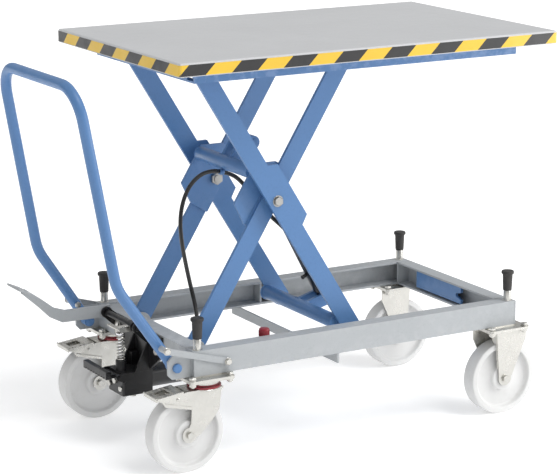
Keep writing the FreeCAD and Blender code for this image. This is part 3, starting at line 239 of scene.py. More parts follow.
BLUE = (0.090, 0.205, 0.425)
MATERIALS = {
    "frame_grey": powder_coat("frame_grey", (0.40, 0.42, 0.435)),
    "deck_grey": powder_coat("deck_grey", (0.56, 0.568, 0.58), 0.46),
    "blue": powder_coat("blue", BLUE, 0.34, worn=(0.30, 0.42, 0.66)),
    "zinc": plated("zinc", (0.60, 0.59, 0.555), 0.27, 0.94, spangle=0.03),
    "rubber": moulded("rubber", (0.030, 0.028, 0.027), 0.62, 0.15, dust=(0.055, 0.050, 0.046)),
    "seal_red": moulded("seal_red", (0.27, 0.014, 0.026), 0.35, 0.08, coat=0.2),
    "pump_black": powder_coat("pump_black", (0.008, 0.008, 0.009), 0.30, worn=(0.07, 0.07, 0.07)),
    "hose": moulded("hose", (0.012, 0.0115, 0.011), 0.30, 0.2, fine=500.0, coat=0.3,
                    dust=(0.035, 0.029, 0.024)),
    "polyamide": moulded("polyamide", (0.68, 0.68, 0.675), 0.42, 0.02, fine=180.0, strength=0.06,
                         dust=(0.62, 0.615, 0.60)),
    "chrome": plated("chrome", (0.80, 0.80, 0.82), 0.12, 1.0, spangle=0.02),
    "steel": plated("steel", (0.40, 0.395, 0.38), 0.30, 1.0, spangle=0.04),
    "bronze": plated("bronze", (0.56, 0.38, 0.18), 0.35, 0.9, spangle=0.06),
    "tape_yellow": moulded("tape_yellow", (0.78, 0.50, 0.030), 0.38, 0.05, fine=90.0, coat=0.15,
                           dust=(0.70, 0.47, 0.06)),
    "tape_black": moulded("tape_black", (0.016, 0.016, 0.017), 0.38, 0.15, fine=90.0, coat=0.15,
                          dust=(0.035, 0.035, 0.035)),
}


# ---------------------------------------------------------------- mesh building
def along_axis(direction):
    d = Vector(direction).normalized()
    u = d.orthogonal().normalized()
    if abs(d.z) > 0.99:
        u = Vector((1, 0, 0))
    elif abs(d.y) > 0.99:
        u = Vector((0, 0, 1))
    return d, u, d.cross(u)


def lathe(bm, profile, centre, direction, steps=48, closed=False):
    """Revolves (radius, height) pairs about a line from centre."""
    d, u, v = along_axis(direction)
    c = Vector(centre)
    rings = []
    for r, h in profile:
        if r < 1e-6:
            rings.append([bm.verts.new(at(*(c + d * h)))])
        else:
            rings.append([bm.verts.new(at(*(c + d * h + (u * math.cos(t) + v * math.sin(t)) * r)))
                          for t in (math.tau * k / steps for k in range(steps))])
    pairs = list(zip(rings, rings[1:])) + ([(rings[-1], rings[0])] if closed else [])
    for a, b in pairs:
        for k in range(steps):
            n = (k + 1) % steps
            corners = [a[k % len(a)], a[n % len(a)], b[n % len(b)], b[k % len(b)]]
            corners = [q for i, q in enumerate(corners) if q not in corners[:i]]
            if len(corners) > 2:
                bm.faces.new(corners)


def rod(bm, start, end, r, steps=32, chamfer=0.6):
    a, b = Vector(start), Vector(end)
    h = (b - a).length
    lathe(bm, [(0, 0), (r - chamfer, 0), (r, chamfer), (r, h - chamfer), (r - chamfer, h), (0, h)],
          start, b - a, steps)


def hexagon(bm, centre, across, height, direction):
    """Bolt head or nut with the corners turned off both faces."""
    r = across / math.sqrt(3)
    f = across / 2
    lathe(bm, [(0, 0), (f, 0), (r, height * 0.16), (r, height * 0.82), (f, height), (0, height)],
          centre, direction, 6)


def washer(bm, centre, r, direction, thick=2.0):
    lathe(bm, [(0, 0), (r - 0.4, 0), (r, 0.5), (r, thick - 0.4), (r - 0.5, thick), (0, thick)],
          centre, direction, 32)


def prism(bm, outline, low, high, plane):
    """A plate: outline in the plane square to an axis, between two values along it."""
    put = {"x": lambda a, b, t: at(t, a, b), "y": lambda a, b, t: at(a, t, b),
           "z": lambda a, b, t: at(a, b, t)}[plane]
    bottom = [bm.verts.new(put(a, b, low)) for a, b in outline]
    top = [bm.verts.new(put(a, b, high)) for a, b in outline]
    bm.faces.new(bottom)
    bm.faces.new(top[::-1])
    for k in range(len(outline)):
        n = (k + 1) % len(outline)
        bm.faces.new((bottom[k], bottom[n], top[n], top[k]))


def sweep(bm, points, radius, sides=12):
    """A tube along points in metres; radius is a number or a function of the place in it."""
    tangents = [(points[min(k + 1, len(points) - 1)] - points[max(k - 1, 0)]).normalized()
                for k in range(len(points))]
    normal = tangents[0].orthogonal().normalized()
    rings = []
    for k, (p, t) in enumerate(zip(points, tangents)):
        normal = (normal - t * normal.dot(t)).normalized()
        side = t.cross(normal)
        r = radius(k) if callable(radius) else radius
        rings.append([bm.verts.new(p + (normal * math.cos(w) + side * math.sin(w)) * r)
                      for w in (math.tau * j / sides for j in range(sides))])
    for a, b in zip(rings, rings[1:]):
        for j in range(sides):
            n = (j + 1) % sides
            bm.faces.new((a[j], a[n], b[n], b[j]))
    bm.faces.new(rings[0][::-1])
    bm.faces.new(rings[-1])


def piece(name, bm, body, slot, replaced=(), bevel=0.0, material=None, smooth=35.0, rides=True):
    """Turns the built mesh into a named object that rides on a body."""
    bmesh.ops.recalc_face_normals(bm, faces=bm.faces)
    mesh = bpy.data.meshes.new(name)
    bm.to_mesh(mesh)
    bm.free()
    mesh.shade_smooth()
    mesh.set_sharp_from_angle(angle=math.radians(smooth))
    obj = bpy.data.objects.new(name, mesh)
    bpy.context.scene.collection.objects.link(obj)
    if bevel:
        edge = obj.modifiers.new("edges", "BEVEL")
        edge.width, edge.segments = bevel * MM, 2
        edge.limit_method, edge.angle_limit = "ANGLE", math.radians(30)
    mesh.materials.append(MATERIALS[material or slot])
    if rides:
        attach(obj, body)
    if replaced:
        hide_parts(*replaced)
    return obj


# ---------------------------------------------------------------- hoses
HOSE_D = 0.011                      # metres
CLIP = (-256.5, 686.6)              # under the lever tube
CLIP_TURN = math.radians(-15.8)


def by_clip(distance):
    """A point on the clip's own line, past its middle."""
    return (CLIP[0] + distance * math.cos(CLIP_TURN), 0.0, CLIP[1] + distance * math.sin(CLIP_TURN))


HOSE_LOWER = [(-464, 22, 224), (-424, 22, 224), (-374, 20, 226), (-334, 17, 244), (-323, 12, 288),
              (-332, 9, 340), (-347, 8, 397), (-358, 12, 455), (-365, 20, 513), (-364, 29, 569),
              (-350, 34, 620), (-328, 33, 658), (-302, 20, 684), by_clip(-20.0), by_clip(-6.0)]
PORT = (39.1, -52.0, 357.4)
HOSE_UPPER = [by_clip(6.0), by_clip(37.0), (-200, -24, 649), (-188, -66, 615), (-178, -112, 585),
              (-158, -152, 557), (-127, -169, 518), (-96, -169.5, 471), (-68, -169, 422),
              (-40, -158, 379), (-6, -126, 355), (PORT[0], PORT[1] - 34, PORT[2]), PORT]


def route(points):
    """The smooth line of a hose, as points in metres."""
    curve = bpy.data.curves.new("route", "CURVE")
    curve.dimensions = "3D"
    spline = curve.splines.new("NURBS")
    spline.points.add(len(points) - 1)
    for control, p in zip(spline.points, points):
        control.co = (*at(*p), 1)
    spline.order_u = 3
    spline.use_endpoint_u = True
    spline.resolution_u = 12
    holder = bpy.data.objects.new("route", curve)
    mesh = bpy.data.meshes.new_from_object(holder)
    line = [v.co.copy() for v in mesh.vertices]
    bpy.data.objects.remove(holder)
    bpy.data.curves.remove(curve)
    bpy.data.meshes.remove(mesh)
    return line


FERRULE = [(0, 0), (6.4, 0), (7.4, 1), (7.4, 4), (6.9, 5), (7.6, 6), (7.6, 9), (6.9, 10), (7.6, 11),
           (7.6, 14), (6.9, 15), (7.6, 16), (7.6, 19), (6.6, 21), (0, 21)]


def ferrule(name, start, direction, body):
    bm = bmesh.new()
    lathe(bm, FERRULE, start, direction, 32)
    return piece(name, bm, body, "zinc")


def hose(name, points, node, bodies):
    line = route(points)
    bm = bmesh.new()
    sweep(bm, line, HOSE_D / 2, 20)
    obj = piece(name, bm, bodies[0], "hose", (node,), rides=False)
    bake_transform(obj)
    return obj


pump_ferrule = ferrule("hose_ferrule_pump", (-463, 22, 224), (1, 0, 0), "root")
port_ferrule = ferrule("hose_ferrule_cylinder", (PORT[0], PORT[1] - 1, PORT[2]), (0, -1, 0),
                       "outer_arms")
hose("hydraulic_hose_lower", HOSE_LOWER, "hose_lower", ("root", "inner_arms"))
hose("hydraulic_hose_upper", HOSE_UPPER, "hose_upper", ("inner_arms", "outer_arms"))


# ---------------------------------------------------------------- CAD nodes that stay
for node, obj in frame["nodes"].items():
    row_slot = next(s["material_slot"] for s in frame["record"]["subparts"] if s["node"] == node)
    obj.data.materials.clear()
    obj.data.materials.append(MATERIALS[row_slot])
    weld = obj.modifiers.new("weld", "WELD")
    weld.merge_threshold = 1e-5
    flat = obj.modifiers.new("flat", "DECIMATE")
    flat.decimate_type, flat.angle_limit = "DISSOLVE", math.radians(0.5)
    edge = obj.modifiers.new("edges", "BEVEL")
    edge.width, edge.segments = 0.0012, 2
    edge.limit_method, edge.angle_limit = "ANGLE", math.radians(35)
    edge.use_clamp_overlap = True


# ---------------------------------------------------------------- wheels, axles and castor detail
WHEEL_SIDE = [(6.05, 24), (29, 24), (32.5, 23.2), (34.6, 21), (35.6, 17), (37.6, 13.6), (41, 12),
              (58, 9.6), (70, 9.4), (77, 10.4), (80.6, 12.8), (82.6, 17), (83.8, 21), (86.2, 23),
              (95.8, 23), (98.2, 22.2), (99.6, 20.6), (100, 18)]


def wheel(name, x, y, body):
    bm = bmesh.new()
    profile = WHEEL_SIDE + [(r, -h) for r, h in WHEEL_SIDE[::-1]]
    lathe(bm, profile, (x, y, WHEEL_Z), (0, 1, 0), 96, closed=True)
    piece(name, bm, body, "polyamide", (body,), smooth=24)


def axle(bm, x, y):
    for sign in (-1, 1):
        face = y + sign * FORK_OUTER
        washer(bm, (x, face, WHEEL_Z), 11.5, (0, sign, 0), 1.6)
        hexagon(bm, (x, face + sign * 1.6, WHEEL_Z), 17.0, 6.6, (0, sign, 0))
    rod(bm, (x, y - FORK_OUTER - 8, WHEEL_Z), (x, y + FORK_OUTER + 10.5, WHEEL_Z), 5.9)


def brake_ribs(bm, y):
    """Raised bars pressed into the brake pedal's tread, and its rolled front edge."""
    rise = 9.0 / 76.0
    beside_window = ((y - 31, y - 19), (y + 19, y + 31))
    across = ((y - 30, y + 30),)
    for along, spans in ((-54.0, beside_window), (-45.0, beside_window), (-22.0, beside_window),
                         (-11.0, across)):
        x, z = BRAKE_X + along, BRAKE_Z + 18.0 + (along - 16.0) * rise
        for y0, y1 in spans:
            sweep(bm, [at(x, y0 + (y1 - y0) * j / 4, z) for j in range(5)], 1.7 * MM, 8)
    tip_x, tip_z = BRAKE_X - 59.4, BRAKE_Z + 8.6
    sweep(bm, [at(tip_x, y + BRAKE_HALF_Y * (j / 4 - 1), tip_z) for j in range(9)], 2.6 * MM, 10)


def castor_flange(bm, x, y, sign):
    """Edge of a fixed fork's leg, folded towards the wheel and tapering to the hub."""
    inner_y = y - sign * FORK_INNER
    rows = [(230, 27), (212, 25), (201, 22), (193, 12), (184, 4.5), (150, 3.6), (122, 2.4)]
    top_z, lean, sheet = rows[0][0], 0.051, 3.0
    front, back = [], []
    for z, width in rows:
        edge_x = x - sign * (29.6 - lean * (top_z - z))
        for column, cx in ((front, edge_x), (back, edge_x + sign * sheet)):
            column.append((bm.verts.new(at(cx, inner_y, z)),
                           bm.verts.new(at(cx, inner_y + sign * width, z))))
    for k in range(len(rows) - 1):
        (a, b), (c, d) = front[k], front[k + 1]
        (e, f), (g, h) = back[k], back[k + 1]
        for quad in ((a, b, d, c), (e, g, h, f), (b, f, h, d), (a, c, g, e)):
            bm.faces.new(quad)
    bm.faces.new((front[0][0], back[0][0], back[0][1], front[0][1]))
    bm.faces.new((front[-1][0], front[-1][1], back[-1][1], back[-1][0]))


fixed_axles, flanges = bmesh.new(), bmesh.new()
for side, sign in SIDES:
    y = sign * CASTOR_Y
    wheel("wheel_fixed_" + side, FIXED_X, y, "fixed_wheel_" + side)
    wheel("wheel_swivel_" + side, SWIVEL_AXLE_X, y, "swivel_wheel_" + side)
    axle(fixed_axles, FIXED_X, y)
    castor_flange(flanges, FIXED_X, y, 1)
    castor_flange(flanges, FIXED_X, y, -1)

    bm = bmesh.new()
    axle(bm, SWIVEL_AXLE_X, y)
    piece("axle_bolt_swivel_" + side, bm, "swivel_" + side, "zinc", ("swivel_axle_" + side,))

    bm = bmesh.new()
    lathe(bm, [(41.0, 203.2), (42.6, 204.4), (42.9, 207.0), (42.0, 208.2), (38.5, 208.4),
               (38.5, 203.2)], (SWIVEL_X, y, 0), (0, 0, 1), 64, closed=True)
    for edge_y in (y - FORK_OUTER + 1.6, y + FORK_OUTER - 1.6):
        for x0, z0, x1, z1 in ((-575, 186.5, -500, 167.5), (-499, 163, -500, 120)):
            sweep(bm, [at(x0 + (x1 - x0) * j / 8, edge_y, z0 + (z1 - z0) * j / 8)
                       for j in range(9)], 2.3 * MM, 10)
    piece("swivel_fork_rolled_edges_" + side, bm, "swivel_" + side, "zinc")

    bm = bmesh.new()
    brake_ribs(bm, y)
    piece("brake_pedal_ribs_" + side, bm, "brake_" + side, "zinc")

    bm = bmesh.new()
    for out in (-1, 1):
        lathe(bm, [(0, 0), (5.2, 0), (5.0, 1.2), (3.4, 2.6), (0, 3.0)],
              (BRAKE_X, y + out * BRAKE_HALF_Y, BRAKE_Z), (0, out, 0), 24)
    piece("brake_pivot_rivets_" + side, bm, "brake_" + side, "zinc")

    bm = bmesh.new()
    lathe(bm, [(42.4, 208.8), (43.6, 210), (43.6, 213.2), (42.4, 214.4), (36, 214.4), (36, 208.8)],
          (SWIVEL_X, y, 0), (0, 0, 1), 64, closed=True)
    lathe(bm, [(38.3, 215.2), (39.4, 216.4), (39.4, 217.4), (38.3, 218.4)],
          (SWIVEL_X, y, 0), (0, 0, 1), 64, closed=True)
    piece("race_seal_" + side, bm, "root", "seal_red", ("swivel_seals",) if sign > 0 else ())

piece("axle_bolts_fixed", fixed_axles, "root", "zinc", ("fixed_castor_axles",))
piece("castor_leg_flanges", flanges, "root", "zinc", bevel=0.8)


# ---------------------------------------------------------------- fasteners on the frame
bolts, pins = bmesh.new(), bmesh.new()
for sign in (-1, 1):
    for x in (SWIVEL_X, FIXED_X):
        for bx in (x - CASTOR_BOLT_X, x + CASTOR_BOLT_X):
            for by in (sign * CASTOR_Y - CASTOR_BOLT_Y, sign * CASTOR_Y + CASTOR_BOLT_Y):
                washer(bolts, (bx, by, 238), 10.2, (0, 0, 1), 1.8)
                hexagon(bolts, (bx, by, 239.8), 17.0, 6.2, (0, 0, 1))
                hexagon(bolts, (bx, by, 230), 16.6, 8.0, (0, 0, -1))
                rod(bolts, (bx, by, 219), (bx, by, 246.4), 4.9, 24)
    for (x, z), y_in in ((STAY_BOLT_TUBE, 227.6), (STAY_BOLT_RAIL, 274.5)):
        out = (0, sign, 0)
        washer(bolts, (x, sign * RAIL_OUTER_Y, z), 9.6, out, 1.6)
        hexagon(bolts, (x, sign * (RAIL_OUTER_Y + 1.6), z), 15.0, 5.6, out)
        hexagon(bolts, (x, sign * y_in, z), 15.0, 7.0, (0, -sign, 0))
        rod(bolts, (x, sign * (RAIL_OUTER_Y + 6.8), z), (x, sign * (y_in - 9.0), z), 4.9, 24)
    for y0, y1, r in ((173, 169, 15.0), (169, 131.5, 10.0), (135, 132.6, 13.0)):
        rod(pins, (PIVOT_X, sign * y0, BASE_PIVOT_Z), (PIVOT_X, sign * y1, BASE_PIVOT_Z), r)
for y, z in PUMP_BOLTS:
    washer(bolts, (-498, y, z), 10.0, (-1, 0, 0), 1.6)
    hexagon(bolts, (-499.6, y, z), 17.0, 5.8, (-1, 0, 0))
    hexagon(bolts, (-484.5, y, z), 17.0, 8.0, (1, 0, 0))
    rod(bolts, (-505.6, y, z), (-474, y, z), 4.9, 24)
piece("frame_bolts_and_nuts", bolts, "root", "zinc", ("frame_fasteners",))
piece("base_pivot_pins", pins, "root", "steel")

bm = bmesh.new()
x, z = HANDLE_PIN
for sign in (-1, 1):
    lathe(bm, [(0, 0), (8.5, 0), (11.4, 1.4), (12.0, 3.2), (12.0, 8.0), (8.0, 8.0), (8.0, 14),
               (0, 14)], (x, sign * 276.0, z), (0, -sign, 0), 40)
    rod(bm, (x, sign * 262.0, z), (x, sign * 259.0, z), 12.0)
    rod(bm, (x, sign * 263.0, z), (x, sign * 226.0, z), 7.9)
    lathe(bm, [(0, 0), (10.6, 0), (11.2, 0.8), (10.6, 1.8), (0, 1.8)],
          (x, sign * 229.6, z), (0, -sign, 0), 32)
piece("handle_pins_domed", bm, "root", "blue", ("handle_pivot_pins",))


# ---------------------------------------------------------------- buffers, lock pin, spring
rubbers, studs = bmesh.new(), bmesh.new()
STUD = [(0, 306), (13, 306), (13, 307.2), (10.1, 309), (10.1, 332), (9.2, 334.2), (0, 334.2)]
BUFFER = [(0, 334), (10.6, 334), (11.6, 335.4), (12.0, 340), (12.8, 362), (13.4, 377), (14.2, 379),
          (16.4, 380.2), (16.8, 381.2), (16.8, 385.6), (16.2, 387.2), (15.2, 388), (0, 388)]
for x in (-BUFFER_X, BUFFER_X):
    for y in (-BUFFER_Y, BUFFER_Y):
        lathe(rubbers, BUFFER, (x, y, 0), (0, 0, 1), 40)
        lathe(studs, STUD, (x, y, 0), (0, 0, 1), 40)
piece("buffer_rubbers", rubbers, "root", "rubber", ("rubber_buffers",))
piece("buffer_studs", studs, "root", "zinc", ("buffer_posts",))

bm = bmesh.new()
KNURLS = 24
lathe(bm, [(0, 262), (4.4, 262), (6, 264.4), (6, 300), (0, 300)], (LOCK_X, LOCK_Y, 0),
      (0, 0, 1), 32)
cap = [(0, 299.6), (12.6, 299.6), (13.6, 300.8), (13.6, 317.6), (12.6, 320.6), (10.4, 322),
       (0, 322)]
lathe(bm, cap, (LOCK_X, LOCK_Y, 0), (0, 0, 1), 48)
for k in range(KNURLS):
    t = math.tau * k / KNURLS
    x, y = LOCK_X + 13.5 * math.cos(t), LOCK_Y + 13.5 * math.sin(t)
    rod(bm, (x, y, 302), (x, y, 317), 0.75, 6, 0.3)
piece("lock_pin_cap", bm, "lock_pin", "seal_red", ("lock_pin",))

bm = bmesh.new()
TURNS, COIL_STEPS, FLAT_TURN = 9, 24, 0.8      # the end turns are closed and lie flat
COIL_R, COIL_LOW, COIL_HIGH = 9.6, 229.6, 294.2
coil = []
for k in range(TURNS * COIL_STEPS + 1):
    turn = k / COIL_STEPS
    rise = min(max((turn - FLAT_TURN) / (TURNS - 2 * FLAT_TURN), 0), 1)
    t = math.tau * turn
    coil.append(at(PLUNGER_X + COIL_R * math.cos(t), PLUNGER_Y + COIL_R * math.sin(t),
                   COIL_LOW + (COIL_HIGH - COIL_LOW) * (0.03 + 0.94 * rise)))
sweep(bm, coil, 1.4 * MM, 10)
spring = piece("plunger_coil_spring", bm, "root", "zinc", ("plunger_spring",), rides=False)
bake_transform(spring)


# ---------------------------------------------------------------- pins and pivots on the arms
def circlip(bm, xz, y, sign, r):
    """Spring ring with its gap and two ears, on the end of a pin."""
    x, z = xz
    arc = [at(x + r * math.cos(t), y, z + r * math.sin(t))
           for t in (math.radians(-60 + 300 * k / 28) for k in range(29))]
    sweep(bm, arc, 1.1 * MM, 8)
    for t in (math.radians(-60), math.radians(240)):
        ex, ez = x + (r + 1.6) * math.cos(t), z + (r + 1.6) * math.sin(t)
        rod(bm, (ex, y - 1, ez), (ex, y + 1, ez), 2.0, 12, 0.3)


def nipple(bm, base, direction):
    """Grease nipple."""
    lathe(bm, [(0, 0), (4.0, 0), (4.0, 2.6), (2.2, 3.4), (2.2, 5.2), (2.9, 6.2), (2.4, 7.6),
               (0, 8.2)], base, direction, 12)


def centre_pin(bm, sign):
    """Bolt through the arms' crossing, with its nut, and the stub of the upper roller."""
    x, z = CENTRE
    out, back = (0, sign, 0), (0, -sign, 0)
    hexagon(bm, (x, sign * 192.5, z), 22.0, 7.5, out)
    washer(bm, (x, sign * 190.6, z), 15.0, out, 2.0)
    rod(bm, (x, sign * 192.5, z), (x, sign * 123.0, z), 11.0)
    lathe(bm, [(11, 157), (16, 157), (17, 158), (17, 180.6), (16, 181.6), (11, 181.6)],
          (x, 0, z), out, 48, closed=True)
    hexagon(bm, (x, sign * 139.0, z), 30.0, 13.0, back)
    for y0, y1, r in ((147.0, 263.0, 12.0), (231.0, 235.6, 16.0), (259.6, 263.0, 15.0)):
        rod(bm, (ROLLER_X, sign * y0, TOP_PIVOT_Z), (ROLLER_X, sign * y1, TOP_PIVOT_Z), r)


clips_inner, clips_outer = bmesh.new(), bmesh.new()
pins_inner, nipples_outer = bmesh.new(), bmesh.new()
for sign in (-1, 1):
    circlip(clips_outer, (PIVOT_X, TOP_PIVOT_Z), sign * 165.6, sign, 10.6)
    circlip(clips_outer, (ROLLER_X, BASE_PIVOT_Z), sign * 270.6, sign, 11.6)
    circlip(clips_inner, (ROLLER_X, TOP_PIVOT_Z), sign * 263.6, sign, 11.6)
    centre_pin(pins_inner, sign)
    nipple(nipples_outer, (PIVOT_X, sign * 208.0, TOP_PIVOT_Z), (0, sign, 0))
piece("upper_pin_circlips", clips_outer, "outer_arms", "zinc")
piece("roller_circlips", clips_inner, "inner_arms", "zinc")
piece("centre_and_roller_pins", pins_inner, "inner_arms", "steel", ("inner_arm_pins",))
piece("upper_grease_nipples", nipples_outer, "outer_arms", "steel")


# ---------------------------------------------------------------- weld beads
BEAD_STEP, RIPPLE = 2.2, 2.1        # mm between sections, and radians of ripple for each


def bead(bm, points, r=2.4):
    """A weld bead: a low rippled ridge along points in mm."""
    line = []
    for p, q in zip(points, points[1:]):
        a, b = at(*p), at(*q)
        count = max(2, int((b - a).length / (BEAD_STEP * MM)))
        line += [a.lerp(b, k / count) for k in range(count)]
    line.append(at(*points[-1]))
    sweep(bm, line, lambda k: r * MM * (0.86 + 0.14 * math.sin(k * RIPPLE)
                                        + 0.05 * math.sin(k * 0.37)), 8)


def ring_bead(bm, xz, y, radius, r=2.4):
    """The same round a tube that lies across."""
    count = max(24, int(math.tau * radius / BEAD_STEP))
    turn = [math.tau * k / count for k in range(count + 1)]
    sweep(bm, [at(xz[0] + radius * math.cos(t), y, xz[1] + radius * math.sin(t)) for t in turn],
          lambda k: r * MM * (0.88 + 0.13 * math.sin(k * RIPPLE)), 8)


def seat(place, a, s, y):
    """Point on an arm, from its distances and y."""
    x, z = place(a, s)
    return (x, y, z)


FOOT_LUG = ((372.5, -18), (378, -13), (390, -9.6), (402, -13))
LEVER_LUG = ((50, 90), (56.6, 78), (54, 68), (46, 60))
on_inner, on_outer = bmesh.new(), bmesh.new()
on_root, on_platform = bmesh.new(), bmesh.new()
for sign in (-1, 1):
    bead(on_inner, [seat(inner, a, 26.0, sign * 148.0) for a in (-88, 88)])
    bead(on_inner, [seat(inner, a, -26.0, sign * 148.0) for a in (-86, 86)])
    ring_bead(on_inner, LEVER_TUBE, sign * 138.2, 19.0, 1.3)
    ring_bead(on_outer, outer(390.0, -28.0), sign * 181.2, 19.6)
    for y in (16.4, 27.6):
        bead(on_outer, [seat(outer, a, s, sign * y) for a, s in FOOT_LUG], 1.8)
        bead(on_inner, [seat(inner, a, s, sign * y) for a, s in LEVER_LUG], 1.8)
    # frame corners, pivot lugs, roller stops
    for x in (-484.0, 484.0):
        bead(on_root, [(x, sign * 237.4, 248), (x, sign * 237.4, 299)], 2.0)
        bead(on_root, [(x - math.copysign(38, x), sign * 238, 306.6), (x, sign * 238, 306.6)], 1.6)
    for y in (169.4, 160.6, 143.4, 134.6):
        bead(on_root, [(-483.8, sign * y, 249), (-483.8, sign * y, 298)], 1.8)
    for y in (268.8, 261.2):
        bead(on_root, [(-490.6, sign * y, 241.5), (-490.6, sign * y, 301)], 1.8)
    for x in (-70.0 - 3.6, -70.0 + 3.6):
        bead(on_root, [(x, sign * 240, 240.6), (x, sign * 278, 240.6)], 1.6)
    for x in (-477.0, 477.0):
        inside = x - math.copysign(5.6, x)
        bead(on_platform, [(inside, sign * 231.6, 980), (inside, sign * 231.6, 1028)], 1.8)
    for y in (204.4, 195.6, 178.4, 169.6):
        bead(on_platform, [(PIVOT_X - 24, sign * y, 1033.6), (PIVOT_X + 24, sign * y, 1033.6)], 1.8)
piece("weld_beads_inner_arms", on_inner, "inner_arms", "blue")
piece("weld_beads_outer_arms", on_outer, "outer_arms", "blue")
piece("weld_beads_frame", on_root, "root", "frame_grey")
piece("weld_beads_platform", on_platform, "platform", "blue")


# ---------------------------------------------------------------- striped edge of the deck
DECK_HALF_X, DECK_HALF_Y, DECK_CORNER = 555.0, 343.0, 6.0
RUNS = [2 * (DECK_HALF_X - DECK_CORNER), 2 * (DECK_HALF_Y - DECK_CORNER)] * 2
RIM = sum(RUNS) + math.tau * DECK_CORNER


def rim_point(s):
    """Place and outward normal at a distance round the deck's edge, from the near left corner."""
    hx, hy, r = DECK_HALF_X, DECK_HALF_Y, DECK_CORNER
    starts = [(-hx + r, -hy), (hx, -hy + r), (hx - r, hy), (-hx, hy - r)]
    arc = r * math.pi / 2
    s %= RIM
    for k in range(4):
        heading = k * math.pi / 2
        dx, dy = math.cos(heading), math.sin(heading)
        if s < RUNS[k]:
            return starts[k][0] + dx * s, starts[k][1] + dy * s, dy, -dx
        s -= RUNS[k]
        if s < arc:
            turn = heading - math.pi / 2 + s / r
            ex, ey = starts[k][0] + dx * RUNS[k], starts[k][1] + dy * RUNS[k]
            cx, cy = ex - dy * r, ey + dx * r
            return cx + r * math.cos(turn), cy + r * math.sin(turn), math.cos(turn), math.sin(turn)
        s -= arc
    return rim_point(0)


STRIPES = 25
PERIOD = RIM / STRIPES
TAPE_LOW, TAPE_HIGH, TAPE_SLANT = 1007.0, 1034.0, 27.0
TAPE_START = -PERIOD / 2 - 8.0
TAPE_STEP, TAPE_ROWS = 2.2, 12
TAPE_FACE, TAPE_BACK = 0.35, 0.02   # how far each layer stands off the edge


def tape(bm, first, last):
    """One slanted block of the tape, with its thickness."""
    columns = int((last - first) / TAPE_STEP)
    outside, inside = [], []
    for k in range(columns + 1):
        s = first + (last - first) * k / columns
        for layer, proud in ((outside, TAPE_FACE), (inside, TAPE_BACK)):
            column = []
            for j in range(TAPE_ROWS + 1):
                f = j / TAPE_ROWS
                x, y, nx, ny = rim_point(s + TAPE_SLANT * f)
                column.append(bm.verts.new(at(x + nx * proud, y + ny * proud,
                                              TAPE_LOW + (TAPE_HIGH - TAPE_LOW) * f)))
            layer.append(column)
    for k in range(columns):
        for j in range(TAPE_ROWS):
            bm.faces.new((outside[k][j], outside[k + 1][j],
                          outside[k + 1][j + 1], outside[k][j + 1]))
            bm.faces.new((inside[k][j], inside[k][j + 1],
                          inside[k + 1][j + 1], inside[k + 1][j]))
        for j in (0, TAPE_ROWS):
            bm.faces.new((outside[k][j], inside[k][j], inside[k + 1][j], outside[k + 1][j]))
    for k in (0, columns):
        for j in range(TAPE_ROWS):
            bm.faces.new((outside[k][j], outside[k][j + 1], inside[k][j + 1], inside[k][j]))


yellow, black = bmesh.new(), bmesh.new()
for k in range(STRIPES):
    s = TAPE_START + k * PERIOD
    tape(yellow, s, s + PERIOD / 2)
    tape(black, s + PERIOD / 2, s + PERIOD)
piece("edge_tape_yellow", yellow, "platform", "deck_grey", material="tape_yellow", smooth=60)
piece("edge_tape_black", black, "platform", "deck_grey", material="tape_black", smooth=60)


# ---------------------------------------------------------------- on the pump and cylinder
bm = bmesh.new()
for y in (-40.0, 22.0):
    hexagon(bm, (-575, y, 160), 13.0, 5.0, (-1, 0, 0))
for y in (-38.0, -9.0, 20.0):
    hexagon(bm, (-540, y, 142), 17.0, 6.0, (0, 0, -1))
hexagon(bm, (-575, -9, 176), 17.0, 6.0, (-1, 0, 0))
hexagon(bm, (-334, -9, 174), 17.0, 5.0, (1, 0, 0))
nipple(bm, (-410, -9, 204), (0, 0, 1))
piece("pump_plugs", bm, "root", "zinc")

# the pedal's shaft, and the plated lever on it that presses the plunger
bm = bmesh.new()
rod(bm, (SHAFT_X, -50, SHAFT_Z), (SHAFT_X, 158, SHAFT_Z), 8.0)
rod(bm, (SHAFT_X, -24, SHAFT_Z), (SHAFT_X, 0, SHAFT_Z), 13.0)
piece("pedal_shaft", bm, "pump_pedal", "pump_black", ("pump_shaft",))
bm = bmesh.new()
prism(bm, [(SHAFT_X, 302), (SHAFT_X, 317), (PLUNGER_X, 317), (-566, 314.3), (-568, 309),
           (-566, 303.7), (PLUNGER_X, 301)], PLUNGER_Y - 8, PLUNGER_Y + 8, "y")
prism(bm, [(-567, -14), (-553, -14), (-553, 52), (-556, 56), (-564, 56), (-567, 52)],
      305.4, 308.6, "z")
rod(bm, (PLUNGER_X, 46, 304.4), (PLUNGER_X, 46, 309.6), 3.2, 20)
piece("plunger_lever", bm, "pump_pedal", "zinc", bevel=0.8)

bm = bmesh.new()
foot = Vector((CYLINDER_FOOT[0], 0, CYLINDER_FOOT[1]))
axis = (Vector((CYLINDER_EYE[0], 0, CYLINDER_EYE[1])) - foot).normalized()
above = Vector((-axis.z, 0, axis.x))
hexagon(bm, foot + 85 * axis + 34 * above, 10.0, 6.0, above)
lathe(bm, [(27.2, 256), (28.2, 257), (28.2, 262), (27.2, 263), (25, 263), (25, 256)],
      foot, axis, 48, closed=True)
lathe(bm, [(12.7, 274), (17.5, 274), (18.6, 275), (18.6, 277.2), (16.6, 278.6), (12.7, 278.6)],
      foot, axis, 48, closed=True)
piece("cylinder_gland_and_bleed", bm, "cylinder_barrel", "pump_black")


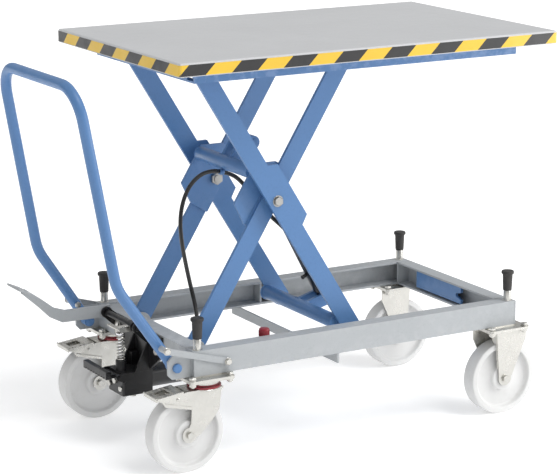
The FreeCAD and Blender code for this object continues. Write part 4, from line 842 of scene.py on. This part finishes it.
# ---------------------------------------------------------------- floor, light and camera
bm = bmesh.new()
reach = 40.0
bm.faces.new([bm.verts.new((sx * reach, sy * reach, 0))
              for sx, sy in ((-1, -1), (1, -1), (1, 1), (-1, 1))])
mesh = bpy.data.meshes.new("floor")
bm.to_mesh(mesh)
bm.free()
floor = bpy.data.objects.new("floor", mesh)
bpy.context.scene.collection.objects.link(floor)
mat, tree, shader, place = new_material("floor_white")
tree.links.new(two_colours(tree, noise_node(tree, place, 0.8), (0.975,) * 3, (0.985,) * 3),
               shader.inputs["Base Color"])
shader.inputs["Roughness"].default_value = 0.9
shader.inputs["Specular IOR Level"].default_value = 0.1
shader.inputs["Emission Color"].default_value = (1, 1, 1, 1)
shader.inputs["Emission Strength"].default_value = 0.28
mesh.materials.append(mat)

# pale sky, darker low down, so that bright metal has something to reflect
world = bpy.data.worlds.new("studio")
bpy.context.scene.world = world
world.use_nodes = True
sky = world.node_tree
sky.nodes["Background"].inputs["Color"].default_value = (1, 1, 1, 1)
height = sky.nodes.new("ShaderNodeSeparateXYZ")
sky.links.new(sky.nodes.new("ShaderNodeTexCoord").outputs["Generated"], height.inputs[0])
sky.links.new(spread(sky, height.outputs["Z"], 0.24, 0.70, 0.0, 0.6),
              sky.nodes["Background"].inputs["Strength"])


def light(name, kind, energy, source, target=(0, 0, 0.5), **settings):
    data = bpy.data.lights.new(name, kind)
    data.energy = energy
    for key, value in settings.items():
        setattr(data, key, value)
    obj = bpy.data.objects.new(name, data)
    bpy.context.scene.collection.objects.link(obj)
    obj.location = source
    obj.rotation_euler = (Vector(target) - Vector(source)).to_track_quat("-Z", "Y").to_euler()


light("key", "SUN", 1.22, (1.2, -2.2, 4.6), angle=math.radians(28))
light("fill", "AREA", 48, (3.0, -2.2, 1.3), shape="RECTANGLE", size=2.0, size_y=1.8)

camera = bpy.data.cameras.new("camera")
camera.lens, camera.sensor_width = 143.8, 36
holder = bpy.data.objects.new("camera", camera)
bpy.context.scene.collection.objects.link(holder)
right = Vector((0.8643, -0.5030, 0))
back = Vector((-0.4893, -0.8408, 0.2317))
up = back.cross(right).normalized()
where = Vector((-2.971 + MIDDLE_X, -4.961, 1.8595 + FLOOR_Z))
holder.matrix_world = Matrix(((right.x, up.x, back.x, where.x), (right.y, up.y, back.y, where.y),
                              (right.z, up.z, back.z, where.z), (0, 0, 0, 1)))
bpy.context.scene.camera = holder
bpy.context.scene.view_settings.view_transform = "Standard"
